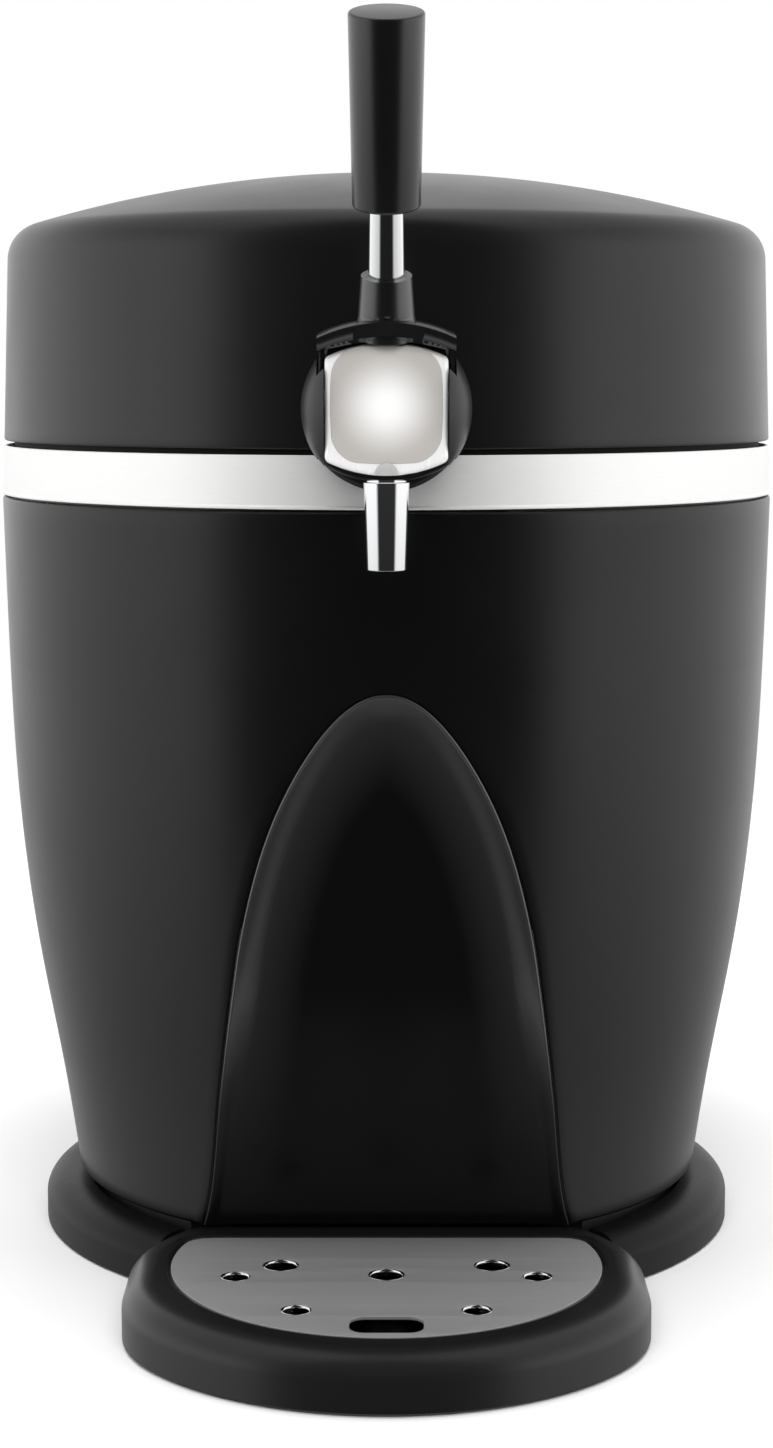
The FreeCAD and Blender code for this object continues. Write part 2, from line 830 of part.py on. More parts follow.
def baseScrewSpots():
    spots = [(bossRearX, bossRearY)]
    for y in (bossSideY, bossBehindTray - trayBack):
        spots.append((math.sqrt(bossRing ** 2 - y ** 2), y))
    return spots + [(-x, y) for x, y in spots]


def makeBase():
    over = crestHeight + 1
    well = disc(baseWellRadius, baseFloorTop, over)
    wellHalf = rearHalf - rearWell
    wellEnd = rearEnd - rearWell
    rearPocket = roundedBlock(wellHalf, unitStart, wellEnd, baseFloorTop, over, rearCorner - rearWell)
    base = baseSolid().cut(well.fuse(rearPocket))
    base = base.cut(trayPlan(trayGap, baseFloorTop, over))
    base = base.cut(ring(stripOuter + stripFit, stripInner - stripFit, 0, baseFloorTop))
    seatZ = baseFloorTop - 1.0
    heads = [disc(4.4, 0, seatZ, x, y) for x, y in baseScrewSpots()]
    holes = [disc(2.3, 0, baseFloorTop + 1, x, y) for x, y in baseScrewSpots()]
    ventPitch = 10.0
    vents = []
    for k in range(6):
        y = rearEnd - 24.0 - k * ventPitch
        vents.append(box(-40, 40, y, y + 4, 0, baseFloorTop + 1))
    save("base_ring", without(base, heads + holes + vents))

    strip = ring(stripOuter, stripInner, 0, baseFloorTop)
    save("foot_strip", strip.cut(trayPlan(trayGap + 2.0, -1, baseFloorTop + 1)))

    roof = bodyBottom - panWall
    gap = trayGap + 0.4
    innerHalf = panRearHalf - panWall
    innerEnd = panRearEnd - panWall
    pan = disc(panRadius, baseFloorTop, bodyBottom)
    pan = pan.fuse(roundedBlock(panRearHalf, unitStart, panRearEnd, baseFloorTop, bodyBottom, panRearCorner))
    pan = pan.cut(trayPlan(gap, 0, bodyBottom + 1))
    under = disc(panRadius - panWall, 0, roof)
    under = under.fuse(roundedBlock(innerHalf, unitStart, innerEnd, 0, roof, panRearCorner - panWall))
    under = under.cut(trayPlan(gap + panWall, 0, bodyBottom))
    bosses = [disc(bossRadius, baseFloorTop, bodyBottom - 1.0, x, y) for x, y in baseScrewSpots()]
    pan = joined([pan.cut(under)] + bosses)
    threads = [disc(1.9, 0, baseFloorTop + 10.0, x, y) for x, y in baseScrewSpots()]
    airway = box(-40, 40, panRearEnd - 66, panRearEnd - 6, roof - 1, bodyBottom + 1)
    save("base_pan", without(pan, threads + [airway]))
    save("base_screws", [screw(3.8, 1.0, 1.8, 9.0, vec(x, y, seatZ), zAxis) for x, y in baseScrewSpots()])


def makeTray():
    tray = trayPlan(0.0, baseFloorTop, trayTop)
    tray = filleted(tray, trayEdge, lambda edge: level(edge, trayTop) and edge.CenterOfMass.y < -trayBack - 4)
    skirt = trayPlan(0.0, baseClear, baseFloorTop).cut(trayPlan(-trayWall, 0, baseFloorTop + 1))
    skirt = skirt.cut(disc(baseRadius + trayGap, 0, baseFloorTop + 1))
    seat = platePlan(plateGap, plateTop - plateThickness, trayTop + 1)
    basin = platePlan(-plateLedge, basinFloor, trayTop)
    tray = tray.fuse(skirt).cut(seat).cut(basin).removeSplitter()
    tray = filleted(tray, trayLip, lambda edge: level(edge, trayTop) and not touchesOutline(edge))
    save("drip_tray", tray)


def makePlate():
    plate = platePlan(0.0, plateTop - plateThickness, plateTop)
    holes = []
    spots = sideHoles + tuple((-across, forward, radius) for across, forward, radius in sideHoles)
    for across, forward, radius in spots + (middleHole,):
        x = across * plateRadius
        y = -plateCentre - forward * plateRadius
        holes.append(disc(radius, 0, trayTop, x, y))
        holes.append(cone(radius + holeLip, radius, vec(x, y, plateTop), vec(x, y, plateTop - holeLip)))
    front = -plateCentre - plateRadius + fingerEdge
    slot = box(-fingerHalf, fingerHalf, front, front + fingerDepth, 0, trayTop)
    save("drip_plate", without(plate, holes + [filleted(slot, fingerCorner, upright)]))


def touchesOutline(edge):
    middle = edge.CenterOfMass
    radius = math.hypot(middle.x, middle.y + plateCentre)
    return radius > plateRadius + 4 or middle.y > -plateBack + 3 and edge.BoundBox.XLength < 100


# Tap


def aboutPivot(edges):
    face = Part.Face(Part.Wire(edges))
    return face.revolve(vec(0, drumY, tapZ), xAxis, 360)


def archedDrum(half, edgeRadius, middleRadius):
    left = vec(-half, drumY, tapZ)
    right = vec(half, drumY, tapZ)
    leftTop = vec(-half, drumY, tapZ + edgeRadius)
    rightTop = vec(half, drumY, tapZ + edgeRadius)
    top = vec(0, drumY, tapZ + middleRadius)
    edges = [line(left, leftTop), arc(leftTop, top, rightTop), line(rightTop, right), line(right, left)]
    return aboutPivot(edges)


def facePlan(half, edge, high, y0, y1):
    a = vec(half, y0, tapZ - edge)
    b = vec(half, y0, tapZ + edge)
    c = vec(-half, y0, tapZ + edge)
    d = vec(-half, y0, tapZ - edge)
    edges = [
        line(a, b),
        arc(b, vec(0, y0, tapZ + high), c),
        line(c, d),
        arc(d, vec(0, y0, tapZ - high), a),
    ]
    return Part.Face(Part.Wire(edges)).extrude(vec(0, y1 - y0, 0))


def makeTapBody():
    drum = archedDrum(drumHalf, drumEdgeRadius, drumRadius)
    drum = drum.cut(box(-far, far, -far, plugFace, 0, far))
    inner = coverWall + 0.15
    plug = facePlan(coverHalf - inner, coverEdge - inner, coverHigh - inner, plugFace, coverFace + coverWall)
    boss = rod(14.0, vec(0, collarFront, tapZ), vec(0, drumY + 8, tapZ))
    body = joined([drum, plug, boss])
    spigotEnd = collarFront - neckSpigot
    rotorBore = rod(rotorRadius + runningGap, vec(-40, drumY, tapZ), vec(40, drumY, tapZ))
    spigot = rod(neckSpigotRadius, vec(0, spigotEnd, tapZ), vec(0, collarFront + 1, tapZ))
    inlet = rod(neckBore, vec(0, spigotEnd - 8, tapZ), vec(0, spigotEnd, tapZ))
    socket = disc(spoutSpigotRadius, spoutShoulder - 8, spoutTop, 0, drumY)
    outlet = disc(neckBore, spoutShoulder - 8, tapZ, 0, drumY)
    save("tap_body", without(body, [rotorBore, spigot, inlet, socket, outlet]))

    neck = turnedAcross([
        (neckBore, neckEnd),
        (tapNeckRadius, neckEnd),
        (tapNeckRadius, towerFront),
        (neckFlangeRadius, towerFront),
        (neckFlangeRadius, towerFront - neckFlange),
        (tapNeckRadius, towerFront - neckFlange),
        (tapNeckRadius, collarFront),
        (neckSpigotRadius, collarFront),
        (neckSpigotRadius, spigotEnd),
        (neckBore, spigotEnd),
    ])
    save("tap_neck", neck)

    corners = []
    for k in range(7):
        turn = math.radians(60 * k)
        corners.append(vec(nutRadius * math.cos(turn), towerBack, tapZ + nutRadius * math.sin(turn)))
    nut = Part.Face(Part.makePolygon(corners)).extrude(vec(0, nutDepth, 0))
    save("tap_nut", nut.cut(rod(tapNeckRadius, vec(0, towerFront, tapZ), vec(0, neckEnd, tapZ))))


def makeTapFront():
    cover = facePlan(coverHalf, coverEdge, coverHigh, coverFace, plugFace - 0.2)
    sideEdges = [edge for edge in cover.Edges if edge.BoundBox.YLength > 5]
    cover = cover.makeFillet(coverCorner, sideEdges)
    frontEdges = [edge for edge in cover.Edges if abs(edge.BoundBox.YMax - coverFace) < 0.01]
    cover = cover.makeFillet(coverRound, frontEdges)
    inside = coverFace + coverWall
    hollow = facePlan(coverHalf - coverWall, coverEdge - coverWall, coverHigh - coverWall, inside, 0)
    notch = rod(5.5, vec(0, coverFace - 2, 0), vec(0, drumY, 0))
    squashed = FreeCAD.Matrix()
    squashed.scale(1, 1, 0.5)
    notch = notch.transformGeometry(squashed)
    notch.translate(vec(0, 0, tapZ + coverHigh - 0.2))
    foot = tapZ - coverHigh
    bump = rod(3.7, vec(0, coverFace - 0.8, foot), vec(0, coverFace + 1, foot))
    bump = bump.common(slab(foot + 0.2, far))
    bumpRoom = rod(3.9, vec(0, coverFace - 2, foot), vec(0, drumY, foot))
    seatHalf = badgeHalf + seatGap
    badgeSeat = badgePlan(seatHalf, badgeHigh + seatGap, coverFace - 1, coverFace + badgeDepth)
    rotorRoom = rod(rotorRadius + 0.6, vec(-40, drumY, tapZ), vec(40, drumY, tapZ))
    cover = without(cover, [hollow, rotorRoom, badgeSeat]).fuse(bump).cut(notch)
    save("tap_cover", cover.removeSplitter())

    badge = badgePlan(badgeHalf, badgeHigh, coverFace - badgeProud, coverFace + badgeDepth)
    save("badge_plate", without(badge, [notch, bumpRoom]))


def makeTapTrim():
    collar = turnedAcross([
        (tapNeckRadius + runningGap, collarBack),
        (collarRadius - 2, collarBack),
        (collarRadius, collarBack - 2),
        (collarRadius, collarBack - 3.4),
        (collarRadius - 1.2, collarBack - 4.8),
        (collarRadius - 9, collarFront + 1.2),
        (collarRadius - 12, collarFront),
        (tapNeckRadius + runningGap, collarFront),
    ])
    save("tap_collar", collar)

    spout = turnedOutline([
        (spoutBore, spoutTip),
        (spoutTipRadius, spoutTip),
        (spoutTopRadius, spoutShoulder),
        (spoutSpigotRadius, spoutShoulder),
        (spoutSpigotRadius, spoutTop),
        (spoutBore, spoutTop),
    ])
    spout.translate(vec(0, drumY, 0))
    save("spout", spout)


def badgePlan(half, high, y0, y1):
    a = vec(half, y0, tapZ - high)
    b = vec(half, y0, tapZ + high)
    c = vec(-half, y0, tapZ + high)
    d = vec(-half, y0, tapZ - high)
    edges = [
        arc(a, vec(half + badgeBow, y0, tapZ), b),
        arc(b, vec(0, y0, tapZ + high + badgeBow), c),
        arc(c, vec(-half - badgeBow, y0, tapZ), d),
        arc(d, vec(0, y0, tapZ - high - badgeBow), a),
    ]
    solid = Part.Face(Part.Wire(edges)).extrude(vec(0, y1 - y0, 0))
    corners = [edge for edge in solid.Edges if edge.BoundBox.XLength < 0.01 and edge.BoundBox.ZLength < 0.01]
    return solid.makeFillet(badgeCorner, corners)


def driveBar(half):
    # the square end that turns the rotor with the lever
    bar = box(-half, half, drumY - driveHalf, drumY + driveHalf, tapZ - driveHalf, tapZ + driveHalf)
    bar.rotate(vec(0, drumY, tapZ), xAxis, leverLean)
    return bar


def makeRotor():
    centre = vec(0, drumY, tapZ)
    half = drumHalf - rotorEndGap
    rotor = rod(rotorRadius, centre - xAxis * half, centre + xAxis * half)
    shoulders = rod(rotorEyeRadius, centre - xAxis * cheekInner, centre + xAxis * cheekInner)
    rotor = joined([rotor, shoulders, driveBar(cheekOuter)])
    inlet = rod(rotorPort, centre, centre + vec(0, 20, 0))
    outlet = rod(rotorPort, centre, centre + vec(0, 0, -20))
    ports = inlet.fuse(outlet).fuse(Part.makeSphere(rotorPort, centre))
    ports.rotate(centre, xAxis, -leverTravel)
    grooveRadius = rotorRadius + runningGap - 2 * ringSection
    grooves = []
    seals = []
    grooveHalf = ringSection + 0.3
    for x in (-ringPlace, ringPlace):
        place = vec(x, drumY, tapZ)
        side = xAxis * grooveHalf
        grooves.append(tube(2 * rotorRadius, grooveRadius, place - side, place + side))
        seals.append(Part.makeTorus(grooveRadius + ringSection - 0.01, ringSection - 0.02, place, xAxis))
    save("valve_rotor", without(rotor, [ports] + grooves))
    save("rotor_seals", seals)


def makeLever():
    lean = math.radians(leverLean)
    way = vec(0, -math.sin(lean), math.cos(lean))
    pivot = vec(0, drumY, tapZ)

    def along(distance):
        return pivot + way * distance

    roof = archedDrum(cheekOuter, yokeOuterEdge, yokeOuter)
    roof = roof.cut(archedDrum(cheekInner, yokeInnerEdge, yokeInner))
    wide = 2 * cheekOuter
    reach = 2 * yokeOuter
    sector = []
    for angle in (yokeRearAngle, yokeRearAngle / 2 + yokeFrontAngle / 2, yokeFrontAngle):
        turn = math.radians(angle)
        sector.append((drumY - reach * math.sin(turn), tapZ + reach * math.cos(turn)))
    wedge = sidePrism([(drumY, tapZ)] + sector, -wide, wide)
    eyeBase = [(drumY + 7, tapZ - 3), (drumY - 7, tapZ - 3)]
    cheekWedge = sidePrism(eyeBase + list(reversed(sector)), -wide, wide)
    eyes = rod(cheekEyeRadius, pivot - xAxis * cheekOuter, pivot + xAxis * cheekOuter)
    between = box(-cheekInner, cheekInner, -far, 0, 0, far)
    cheeks = roof.common(cheekWedge).cut(between).fuse(eyes.cut(between))
    shoulder = stemStart + 3.0
    stem = cone(stemFootRadius + stemFlare, stemFootRadius, along(stemStart - 2), along(shoulder))
    stem = stem.fuse(cone(stemFootRadius, stemHeadRadius, along(shoulder), along(stemEnd)))
    stem = stem.cut(archedDrum(cheekInner, yokeInnerEdge, yokeInner))
    yoke = joined([roof.common(wedge), cheeks, stem])
    rodHole = rod(rodFootRadius, along(stemEnd - rodSink), along(stemEnd + 5))
    save("lever_yoke", without(yoke, [driveBar(wide), rodHole]))

    leverRod = rod(rodFootRadius, along(stemEnd - rodSink), along(stemEnd))
    leverRod = leverRod.fuse(cone(rodFootRadius, rodHeadRadius, along(stemEnd), along(handleStart)))
    leverRod = leverRod.fuse(rod(rodHeadRadius, along(handleStart), along(handleStart + rodSink)))
    save("lever_rod", leverRod.removeSplitter())

    handle = cone(handleFootRadius, handleHeadRadius, along(handleStart), along(handleEnd))
    rims = [edge for edge in handle.Edges if edge.Closed and edge.Length > 50]
    handle = handle.makeFillet(handleRound, rims)
    save("lever_handle", handle.cut(rod(rodHeadRadius, along(handleStart - 1), along(handleStart + rodSink))))


# Beer line


def alongConnector(start, end, radius):
    # a round piece on the connector's axis, from start to end behind the hose's end
    y = connectorStart
    return rod(radius, vec(connectorX, y + start, connectorZ), vec(connectorX, y + end, connectorZ))


def makeBeerLine():
    bend = vec(0, elbowY, tapZ)
    inletEnd = vec(0, neckEnd, tapZ)
    barbEnd = bend - xAxis * barbLength
    armEnd = bend - xAxis * (elbowRadius + 4.5)
    elbow = rod(elbowRadius, inletEnd, bend + yAxis * 5.5)
    flange = rod(rotorRadius, inletEnd, inletEnd + yAxis * 2)
    arm = rod(elbowRadius - 1.5, bend, armEnd)
    bores = [rod(elbowBore, inletEnd - yAxis, bend), rod(elbowBore, bend, barbEnd - xAxis)]
    save("tap_elbow", without(joined([elbow, flange, arm, rod(barbRadius, bend, barbEnd)]), bores))

    path = [
        armEnd - xAxis * 0.2,
        barbEnd - xAxis,
        onTrack(clipAngle - 16.8, (tapZ + connectorZ) / 2 + 0.3),
        onTrack(clipAngle, connectorZ + 0.6),
        onTrack(clipAngle + 16.0, connectorZ),
        (connectorX, connectorStart - 12.0, connectorZ),
        (connectorX, connectorStart - 0.2, connectorZ),
    ]
    save("beer_line", sweep(path, hoseRadius, hoseBore))

    body = alongConnector(0, 24, connectorRadius)
    body = filleted(body, 1.0, lambda edge: edge.Closed and edge.Length > 40)
    nose = alongConnector(23, 36, connectorRadius - 2.0)
    barb = alongConnector(-10, 1, barbRadius)
    bores = [alongConnector(-11, 20, elbowBore), alongConnector(19, 40, 4.2)]
    save("keg_connector", without(joined([body, nose, barb]), bores))

    outer = hoseRadius + clampGrip
    inner = hoseRadius + runningGap
    first = armEnd - xAxis * 4
    clamps = [
        tube(outer, inner, first - xAxis * 5, first),
        alongConnector(-8, -3, outer).cut(alongConnector(-9, -2, inner)),
    ]
    save("hose_clamps", clamps)


# Cooling unit


def fourRods(place, radius, y0, y1):
    # four round bars along Y at the corners of a square about the unit's middle
    ends = [(x, unitZ + z) for x in (-place, place) for z in (-place, place)]
    return [rod(radius, vec(x, y0, z), vec(x, y1, z)) for x, z in ends]


def fourSeats(place, y):
    return [vec(x, y, unitZ + z) for x in (-place, place) for z in (-place, place)]


def squareBlock(half, y0, y1):
    return box(-half, half, y0, y1, unitZ - half, unitZ + half)


def makeCoolingUnit():
    high = unitZ + coldHalf
    block = squareBlock(coldHalf, unitStart, coldEnd).cut(disc(chamberRadius, 0, far))
    probeHole = disc(probeRadius + seatGap, high - probeDepth - seatGap, high + 1, probeX, probeY)
    threads = fourRods(sinkScrewPlace, 1.9, coldEnd - threadDepth, coldEnd + 1)
    save("cold_block", without(block, threads + [probeHole]))
    save("temperature_probe", disc(probeRadius, high - probeDepth, high + probeStand, probeX, probeY))
    save("cooling_module", squareBlock(moduleHalf, coldEnd, sinkY))

    finStart = sinkY + sinkBase
    pitch = (2 * sinkHalf - finThickness) / (finCount - 1)
    fins = []
    for k in range(finCount):
        x = -sinkHalf + k * pitch
        fins.append(box(x, x + finThickness, finStart - 0.5, finEnd, unitZ - sinkHalf, unitZ + sinkHalf))
    sink = joined([squareBlock(sinkHalf, sinkY, finStart)] + fins)
    wells = fourRods(sinkScrewPlace, 4.2, finStart, finEnd + 1)
    holes = fourRods(sinkScrewPlace, 2.0, sinkY - 1, finEnd)
    pilots = fourRods(fanHolePlace, 2.0, finEnd - 5, finEnd + 1)
    save("heat_sink", without(sink, wells + holes + pilots))
    length = sinkBase + moduleThickness + 3.4
    seats = fourSeats(sinkScrewPlace, finStart)
    save("heat_sink_screws", [screw(3.6, 2.4, 1.8, length, seat, vec(0, -1, 0)) for seat in seats])


def makeFan():
    y0 = finEnd
    y1 = finEnd + fanDepth
    front = vec(0, y0, unitZ)
    back = vec(0, y1, unitZ)
    frame = squareBlock(fanHalf, y0, y1)
    frame = frame.makeFillet(fanCorner, [edge for edge in frame.Edges if edge.BoundBox.YLength > 5])
    frame = frame.cut(rod(fanBore, front - yAxis, back + yAxis))
    for k in range(4):
        spoke = box(-1.5, 1.5, y1 - 3, y1, unitZ, unitZ + fanBore + 1)
        spoke.rotate(front, yAxis, 45 + 90 * k)
        frame = frame.fuse(spoke)
    frame = frame.fuse(rod(fanHub, back - yAxis * 3, back))
    frame = frame.fuse(rod(fanPin, front + yAxis * 4, back - yAxis * 2))
    holes = fourRods(fanHolePlace, 2.1, y0 - 1, y1 + 1)
    save("fan_frame", without(frame, holes).removeSplitter())
    seats = fourSeats(fanHolePlace, y1)
    save("fan_screws", [screw(3.4, 2.2, 1.9, fanDepth + 4, seat, vec(0, -1, 0)) for seat in seats])

    hubStart = front + yAxis * 2
    hubEnd = back - yAxis * 4
    blades = []
    for k in range(bladeCount):
        blade = box(-bladeHalf, bladeHalf, 0, bladeThickness, fanHub - 1.5, fanBore + 4)
        blade.translate(vec(0, -bladeThickness / 2, 0))
        blade.rotate(vec(0, 0, 0), zAxis, bladeTilt)
        blade.translate((hubStart + hubEnd) * 0.5)
        blade.rotate(front, yAxis, 360.0 * k / bladeCount)
        blades.append(blade)
    rotor = joined([rod(fanHub, hubStart, hubEnd)] + blades)
    rotor = rotor.common(rod(fanBore - 1.5, hubStart, hubEnd))
    save("fan_rotor", rotor.cut(rod(fanPin + runningGap, front, back)))


def makeHousing():
    y = housingEnd
    wall = housingWall
    inside = housingHalf - wall
    floorTop = bodyBottom + wall
    roof = housingTop - wall
    outer = roundedBlock(housingHalf, unitStart, y, bodyBottom, housingTop, housingCorner)
    outer = filleted(outer, housingRound, lambda edge: level(edge, housingTop) and behind(edge, unitStart))
    inner = roundedBlock(inside, unitStart - wall, y - wall, floorTop, roof, housingCorner - wall)
    shell = outer.cut(inner).cut(barrel(-foamGap, bodyBottom - 5, bodyTop + 5))
    grilleFrame = 6.0
    openHalf = grilleHalf - grilleFrame
    openings = [
        box(-openHalf, openHalf, y - 10, y + 5, grilleBottom + grilleFrame, grilleTop - grilleFrame),
        box(-38, 38, y - 64, y - 14, bodyBottom - 1, floorTop + 1),
        box(-socketX - 13.6, -socketX + 13.6, y - 10, y + 5, socketZ - 10.1, socketZ + 10.1),
        rod(9.1, vec(socketX, y - 10, socketZ), vec(socketX, y + 5, socketZ)),
        box(-7.1, 7.1, y - 10, y + 5, socketZ - 11.1, socketZ + 11.1),
    ]
    for k in range(7):
        z = unitZ - 50.0 + slotPitch * k
        openings.append(box(-far, far, y - 50, y - 14, z, z + 5))
    shell = without(shell, openings)
    posts = [disc(3.5, floorTop - 0.5, boardZ, place.x, place.y) for place in boardSeats()]
    shell = joined([max(shell.Solids, key=lambda part: part.Volume)] + posts)
    pilots = [disc(1.2, floorTop, boardZ + 1, place.x, place.y) for place in boardSeats()]
    leafHoles = [disc(1.5, roof - 7, housingTop + 5, x, hingeFootScrewY) for x in (-hingeFootX, hingeFootX)]
    grilleHoles = [rod(1.5, seat - yAxis * 15, seat + yAxis * 5) for seat in grilleSeats()]
    save("rear_housing", without(shell, pilots + leafHoles + grilleHoles))


def makeGrille():
    y = housingEnd
    face = y + grilleThickness
    grille = box(-grilleHalf, grilleHalf, y, face, grilleBottom, grilleTop)
    grille = grille.makeFillet(grilleCorner, [edge for edge in grille.Edges if edge.BoundBox.YLength > 2])
    slots = []
    z = grilleBottom + 12
    while z + slotHeight < grilleTop - 8:
        slots.append(box(-grilleHalf + 12, -2.5, y - 1, face + 1, z, z + slotHeight))
        slots.append(box(2.5, grilleHalf - 12, y - 1, face + 1, z, z + slotHeight))
        z = z + slotPitch
    holes = [rod(1.8, seat - yAxis * 5, seat + yAxis) for seat in grilleSeats()]
    save("rear_grille", without(grille, slots + holes))
    save("grille_screws", [screw(3.0, 1.8, 1.4, 5.0, seat, vec(0, -1, 0)) for seat in grilleSeats()])


def grilleSeats():
    half = grilleHalf - grilleScrewInset
    heights = (grilleBottom + grilleScrewInset, grilleTop - grilleScrewInset)
    return [vec(x, housingEnd + grilleThickness, z) for x in (-half, half) for z in heights]


def boardSeats():
    half = boardHalf - 5
    return [vec(x, boardFront + y, boardTop) for x in (-half, half) for y in (5, boardDepth - 6)]


def makeBoard():
    y = boardFront
    top = boardTop
    board = box(-boardHalf, boardHalf, y, y + boardDepth, boardZ, top)
    board = without(board, [disc(1.6, 0, top + 5, seat.x, seat.y) for seat in boardSeats()])
    parts = [
        box(-34, -8, y + 4, y + 32, top, top + 20),
        box(-4, 6, y + 6, y + 34, top, top + 12),
        box(12, 24, y + 4, y + 18, top, top + 9),
    ]
    parts = parts + [disc(5.0, top, top + 14, x, y + 26) for x in (14, 27)]
    parts = parts + [box(x, x + 11, y + 35.5, y + 41, top, top + terminalHeight) for x in (-9, 3, 29)]
    save("power_board", joined([board] + parts))
    save("board_screws", [screw(2.8, 1.8, 1.15, 7.0, seat, vec(0, 0, -1)) for seat in boardSeats()])


def makeInlets():
    y = housingEnd
    mains = box(-13.5, 13.5, y - 16, y, -10, 10).fuse(box(-16, 16, y, y + 2.2, -12.5, 12.5))
    mains = mains.cut(box(-11.5, 11.5, y - 12, y + 5, -7.5, 7.5))
    for x in (-7.0, 0.0, 7.0):
        mains = mains.fuse(box(x - 1, x + 1, y - 13, y - 1, -2, 2))
    mains.translate(vec(-socketX, 0, socketZ))
    save("mains_inlet", mains.removeSplitter())

    low = rod(9.0, vec(0, y - 14, 0), vec(0, y, 0)).fuse(rod(11.5, vec(0, y, 0), vec(0, y + 2.2, 0)))
    low = low.cut(rod(7.0, vec(0, y - 11, 0), vec(0, y + 5, 0)))
    for x in (-3.0, 3.0):
        low = low.fuse(rod(1.2, vec(x, y - 12, 0), vec(x, y - 1, 0)))
    low.translate(vec(socketX, 0, socketZ))
    save("low_voltage_inlet", low.removeSplitter())


def makeSwitch():
    y = housingEnd
    frame = box(-7, 7, y - 12, y, -11, 11).fuse(box(-8.5, 8.5, y, y + 1.6, -12.5, 12.5))
    frame = frame.cut(box(-5.9, 5.9, y - 10, y + 5, -9.8, 9.8))
    frame.translate(vec(0, 0, socketZ))
    save("switch_frame", frame)
    rocker = rod(9.3, vec(-5.4, y - 1.5, 0), vec(5.4, y - 1.5, 0))
    rocker = rocker.common(box(-6, 6, y - 8, y + 2.6, -20, 20))
    rocker = rocker.cut(sidePrism([(y + 2.7, -9.5), (y + 2.7, 9.5), (y + 1.4, 0)], -6, 6))
    rocker.translate(vec(0, 0, socketZ))
    rocker.rotate(vec(0, y - 1.5, socketZ), xAxis, -7)
    save("switch_rocker", rocker)


def makeWires():
    end = boardTop + terminalHeight + seatGap
    above = end + 8.0
    plugY = boardFront + 38.0
    fanY = finEnd + fanDepth / 2
    fanFoot = unitZ - fanHalf
    path = [
        (30, fanY, fanFoot - seatGap),
        (30, fanY, fanFoot - 10),
        (33, plugY + 4, above + 21),
        (34, plugY, above),
        (34, plugY, end),
    ]
    save("fan_wire", sweep(path, 1.2))
    leads = []
    y = coldEnd + moduleThickness / 2
    foot = unitZ - sinkHalf
    for x in (-6.0, 6.0):
        path = [
            (x, y, unitZ - moduleHalf - seatGap),
            (x, y, foot + 2),
            (x, y + 2.6, foot - 3.6),
            (x, y + 8, foot - 14),
            (x + 1, plugY - 12, above + 19),
            (x + 2, plugY, above),
            (x + 2, plugY, end),
        ]
        leads.append(sweep(path, 1.0))
    save("module_wires", leads)


os.makedirs("parts", exist_ok=True)
makeBody()
makeLiner()
makeDeck()
makeLid()
makeHinge()
makeBase()
makeTray()
makePlate()
makeTapBody()
makeTapFront()
makeTapTrim()
makeRotor()
makeLever()
makeBeerLine()
makeCoolingUnit()
makeFan()
makeHousing()
makeGrille()
makeBoard()
makeInlets()
makeSwitch()
makeWires()
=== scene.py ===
import bpy
import bmesh
import math
from mathutils import Matrix, Vector


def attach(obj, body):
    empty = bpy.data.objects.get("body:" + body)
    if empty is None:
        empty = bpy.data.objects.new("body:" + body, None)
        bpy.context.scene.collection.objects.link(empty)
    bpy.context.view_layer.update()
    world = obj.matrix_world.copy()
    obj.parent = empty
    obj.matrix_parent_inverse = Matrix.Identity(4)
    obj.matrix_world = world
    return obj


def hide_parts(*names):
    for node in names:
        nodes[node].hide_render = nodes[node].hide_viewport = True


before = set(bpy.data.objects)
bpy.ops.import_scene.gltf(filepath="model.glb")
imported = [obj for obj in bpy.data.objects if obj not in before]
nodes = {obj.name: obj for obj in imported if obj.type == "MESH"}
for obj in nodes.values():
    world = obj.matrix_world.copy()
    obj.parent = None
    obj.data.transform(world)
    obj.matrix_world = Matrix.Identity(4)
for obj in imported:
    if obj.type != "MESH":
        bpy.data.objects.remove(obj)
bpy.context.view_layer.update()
mm = 0.001
print("frame loaded:", len(nodes), "nodes")


# colour, nodes and materials


def hexColour(code):  # sRGB hex to linear RGBA
    linear = []
    for k in (0, 2, 4):
        value = int(code[k:k + 2], 16) / 255
        linear.append(value / 12.92 if value <= 0.04045 else ((value + 0.055) / 1.055) ** 2.4)
    return (*linear, 1.0)


def addNode(tree, kind, inputs=None, **settings):
    node = tree.nodes.new(kind)
    for key, value in settings.items():
        setattr(node, key, value)
    for key, value in (inputs or {}).items():
        if isinstance(value, bpy.types.NodeSocket):
            tree.links.new(value, node.inputs[key])
        else:
            node.inputs[key].default_value = value
    return node


def mathNode(tree, operation, first, second):
    return addNode(tree, "ShaderNodeMath", {0: first, 1: second}, operation=operation).outputs[0]


def ramp(tree, value, source, target=(0.0, 1.0), kind="LINEAR"):
    # carries a value from one range over to another
    ends = {"Value": value, "From Min": source[0], "From Max": source[1], "To Min": target[0], "To Max": target[1]}
    return addNode(tree, "ShaderNodeMapRange", ends, interpolation_type=kind).outputs[0]


def noise(tree, place, scale, detail, roughness=0.5):
    look = {"Vector": place, "Scale": scale, "Detail": detail, "Roughness": roughness}
    return addNode(tree, "ShaderNodeTexNoise", look).outputs[0]


def blend(tree, factor, first, second):
    colours = {0: factor, 6: hexColour(first), 7: hexColour(second)}
    return addNode(tree, "ShaderNodeMix", colours, data_type="RGBA").outputs[2]


def bumped(tree, height, strength, distanceMm):
    look = {"Height": height, "Strength": strength, "Distance": distanceMm * mm}
    return addNode(tree, "ShaderNodeBump", look).outputs[0]


def newMaterial(name):
    material = bpy.data.materials.new(name)
    material.use_nodes = True
    tree = material.node_tree
    tree.nodes.clear()
    return material, tree, addNode(tree, "ShaderNodeTexCoord").outputs["Object"]


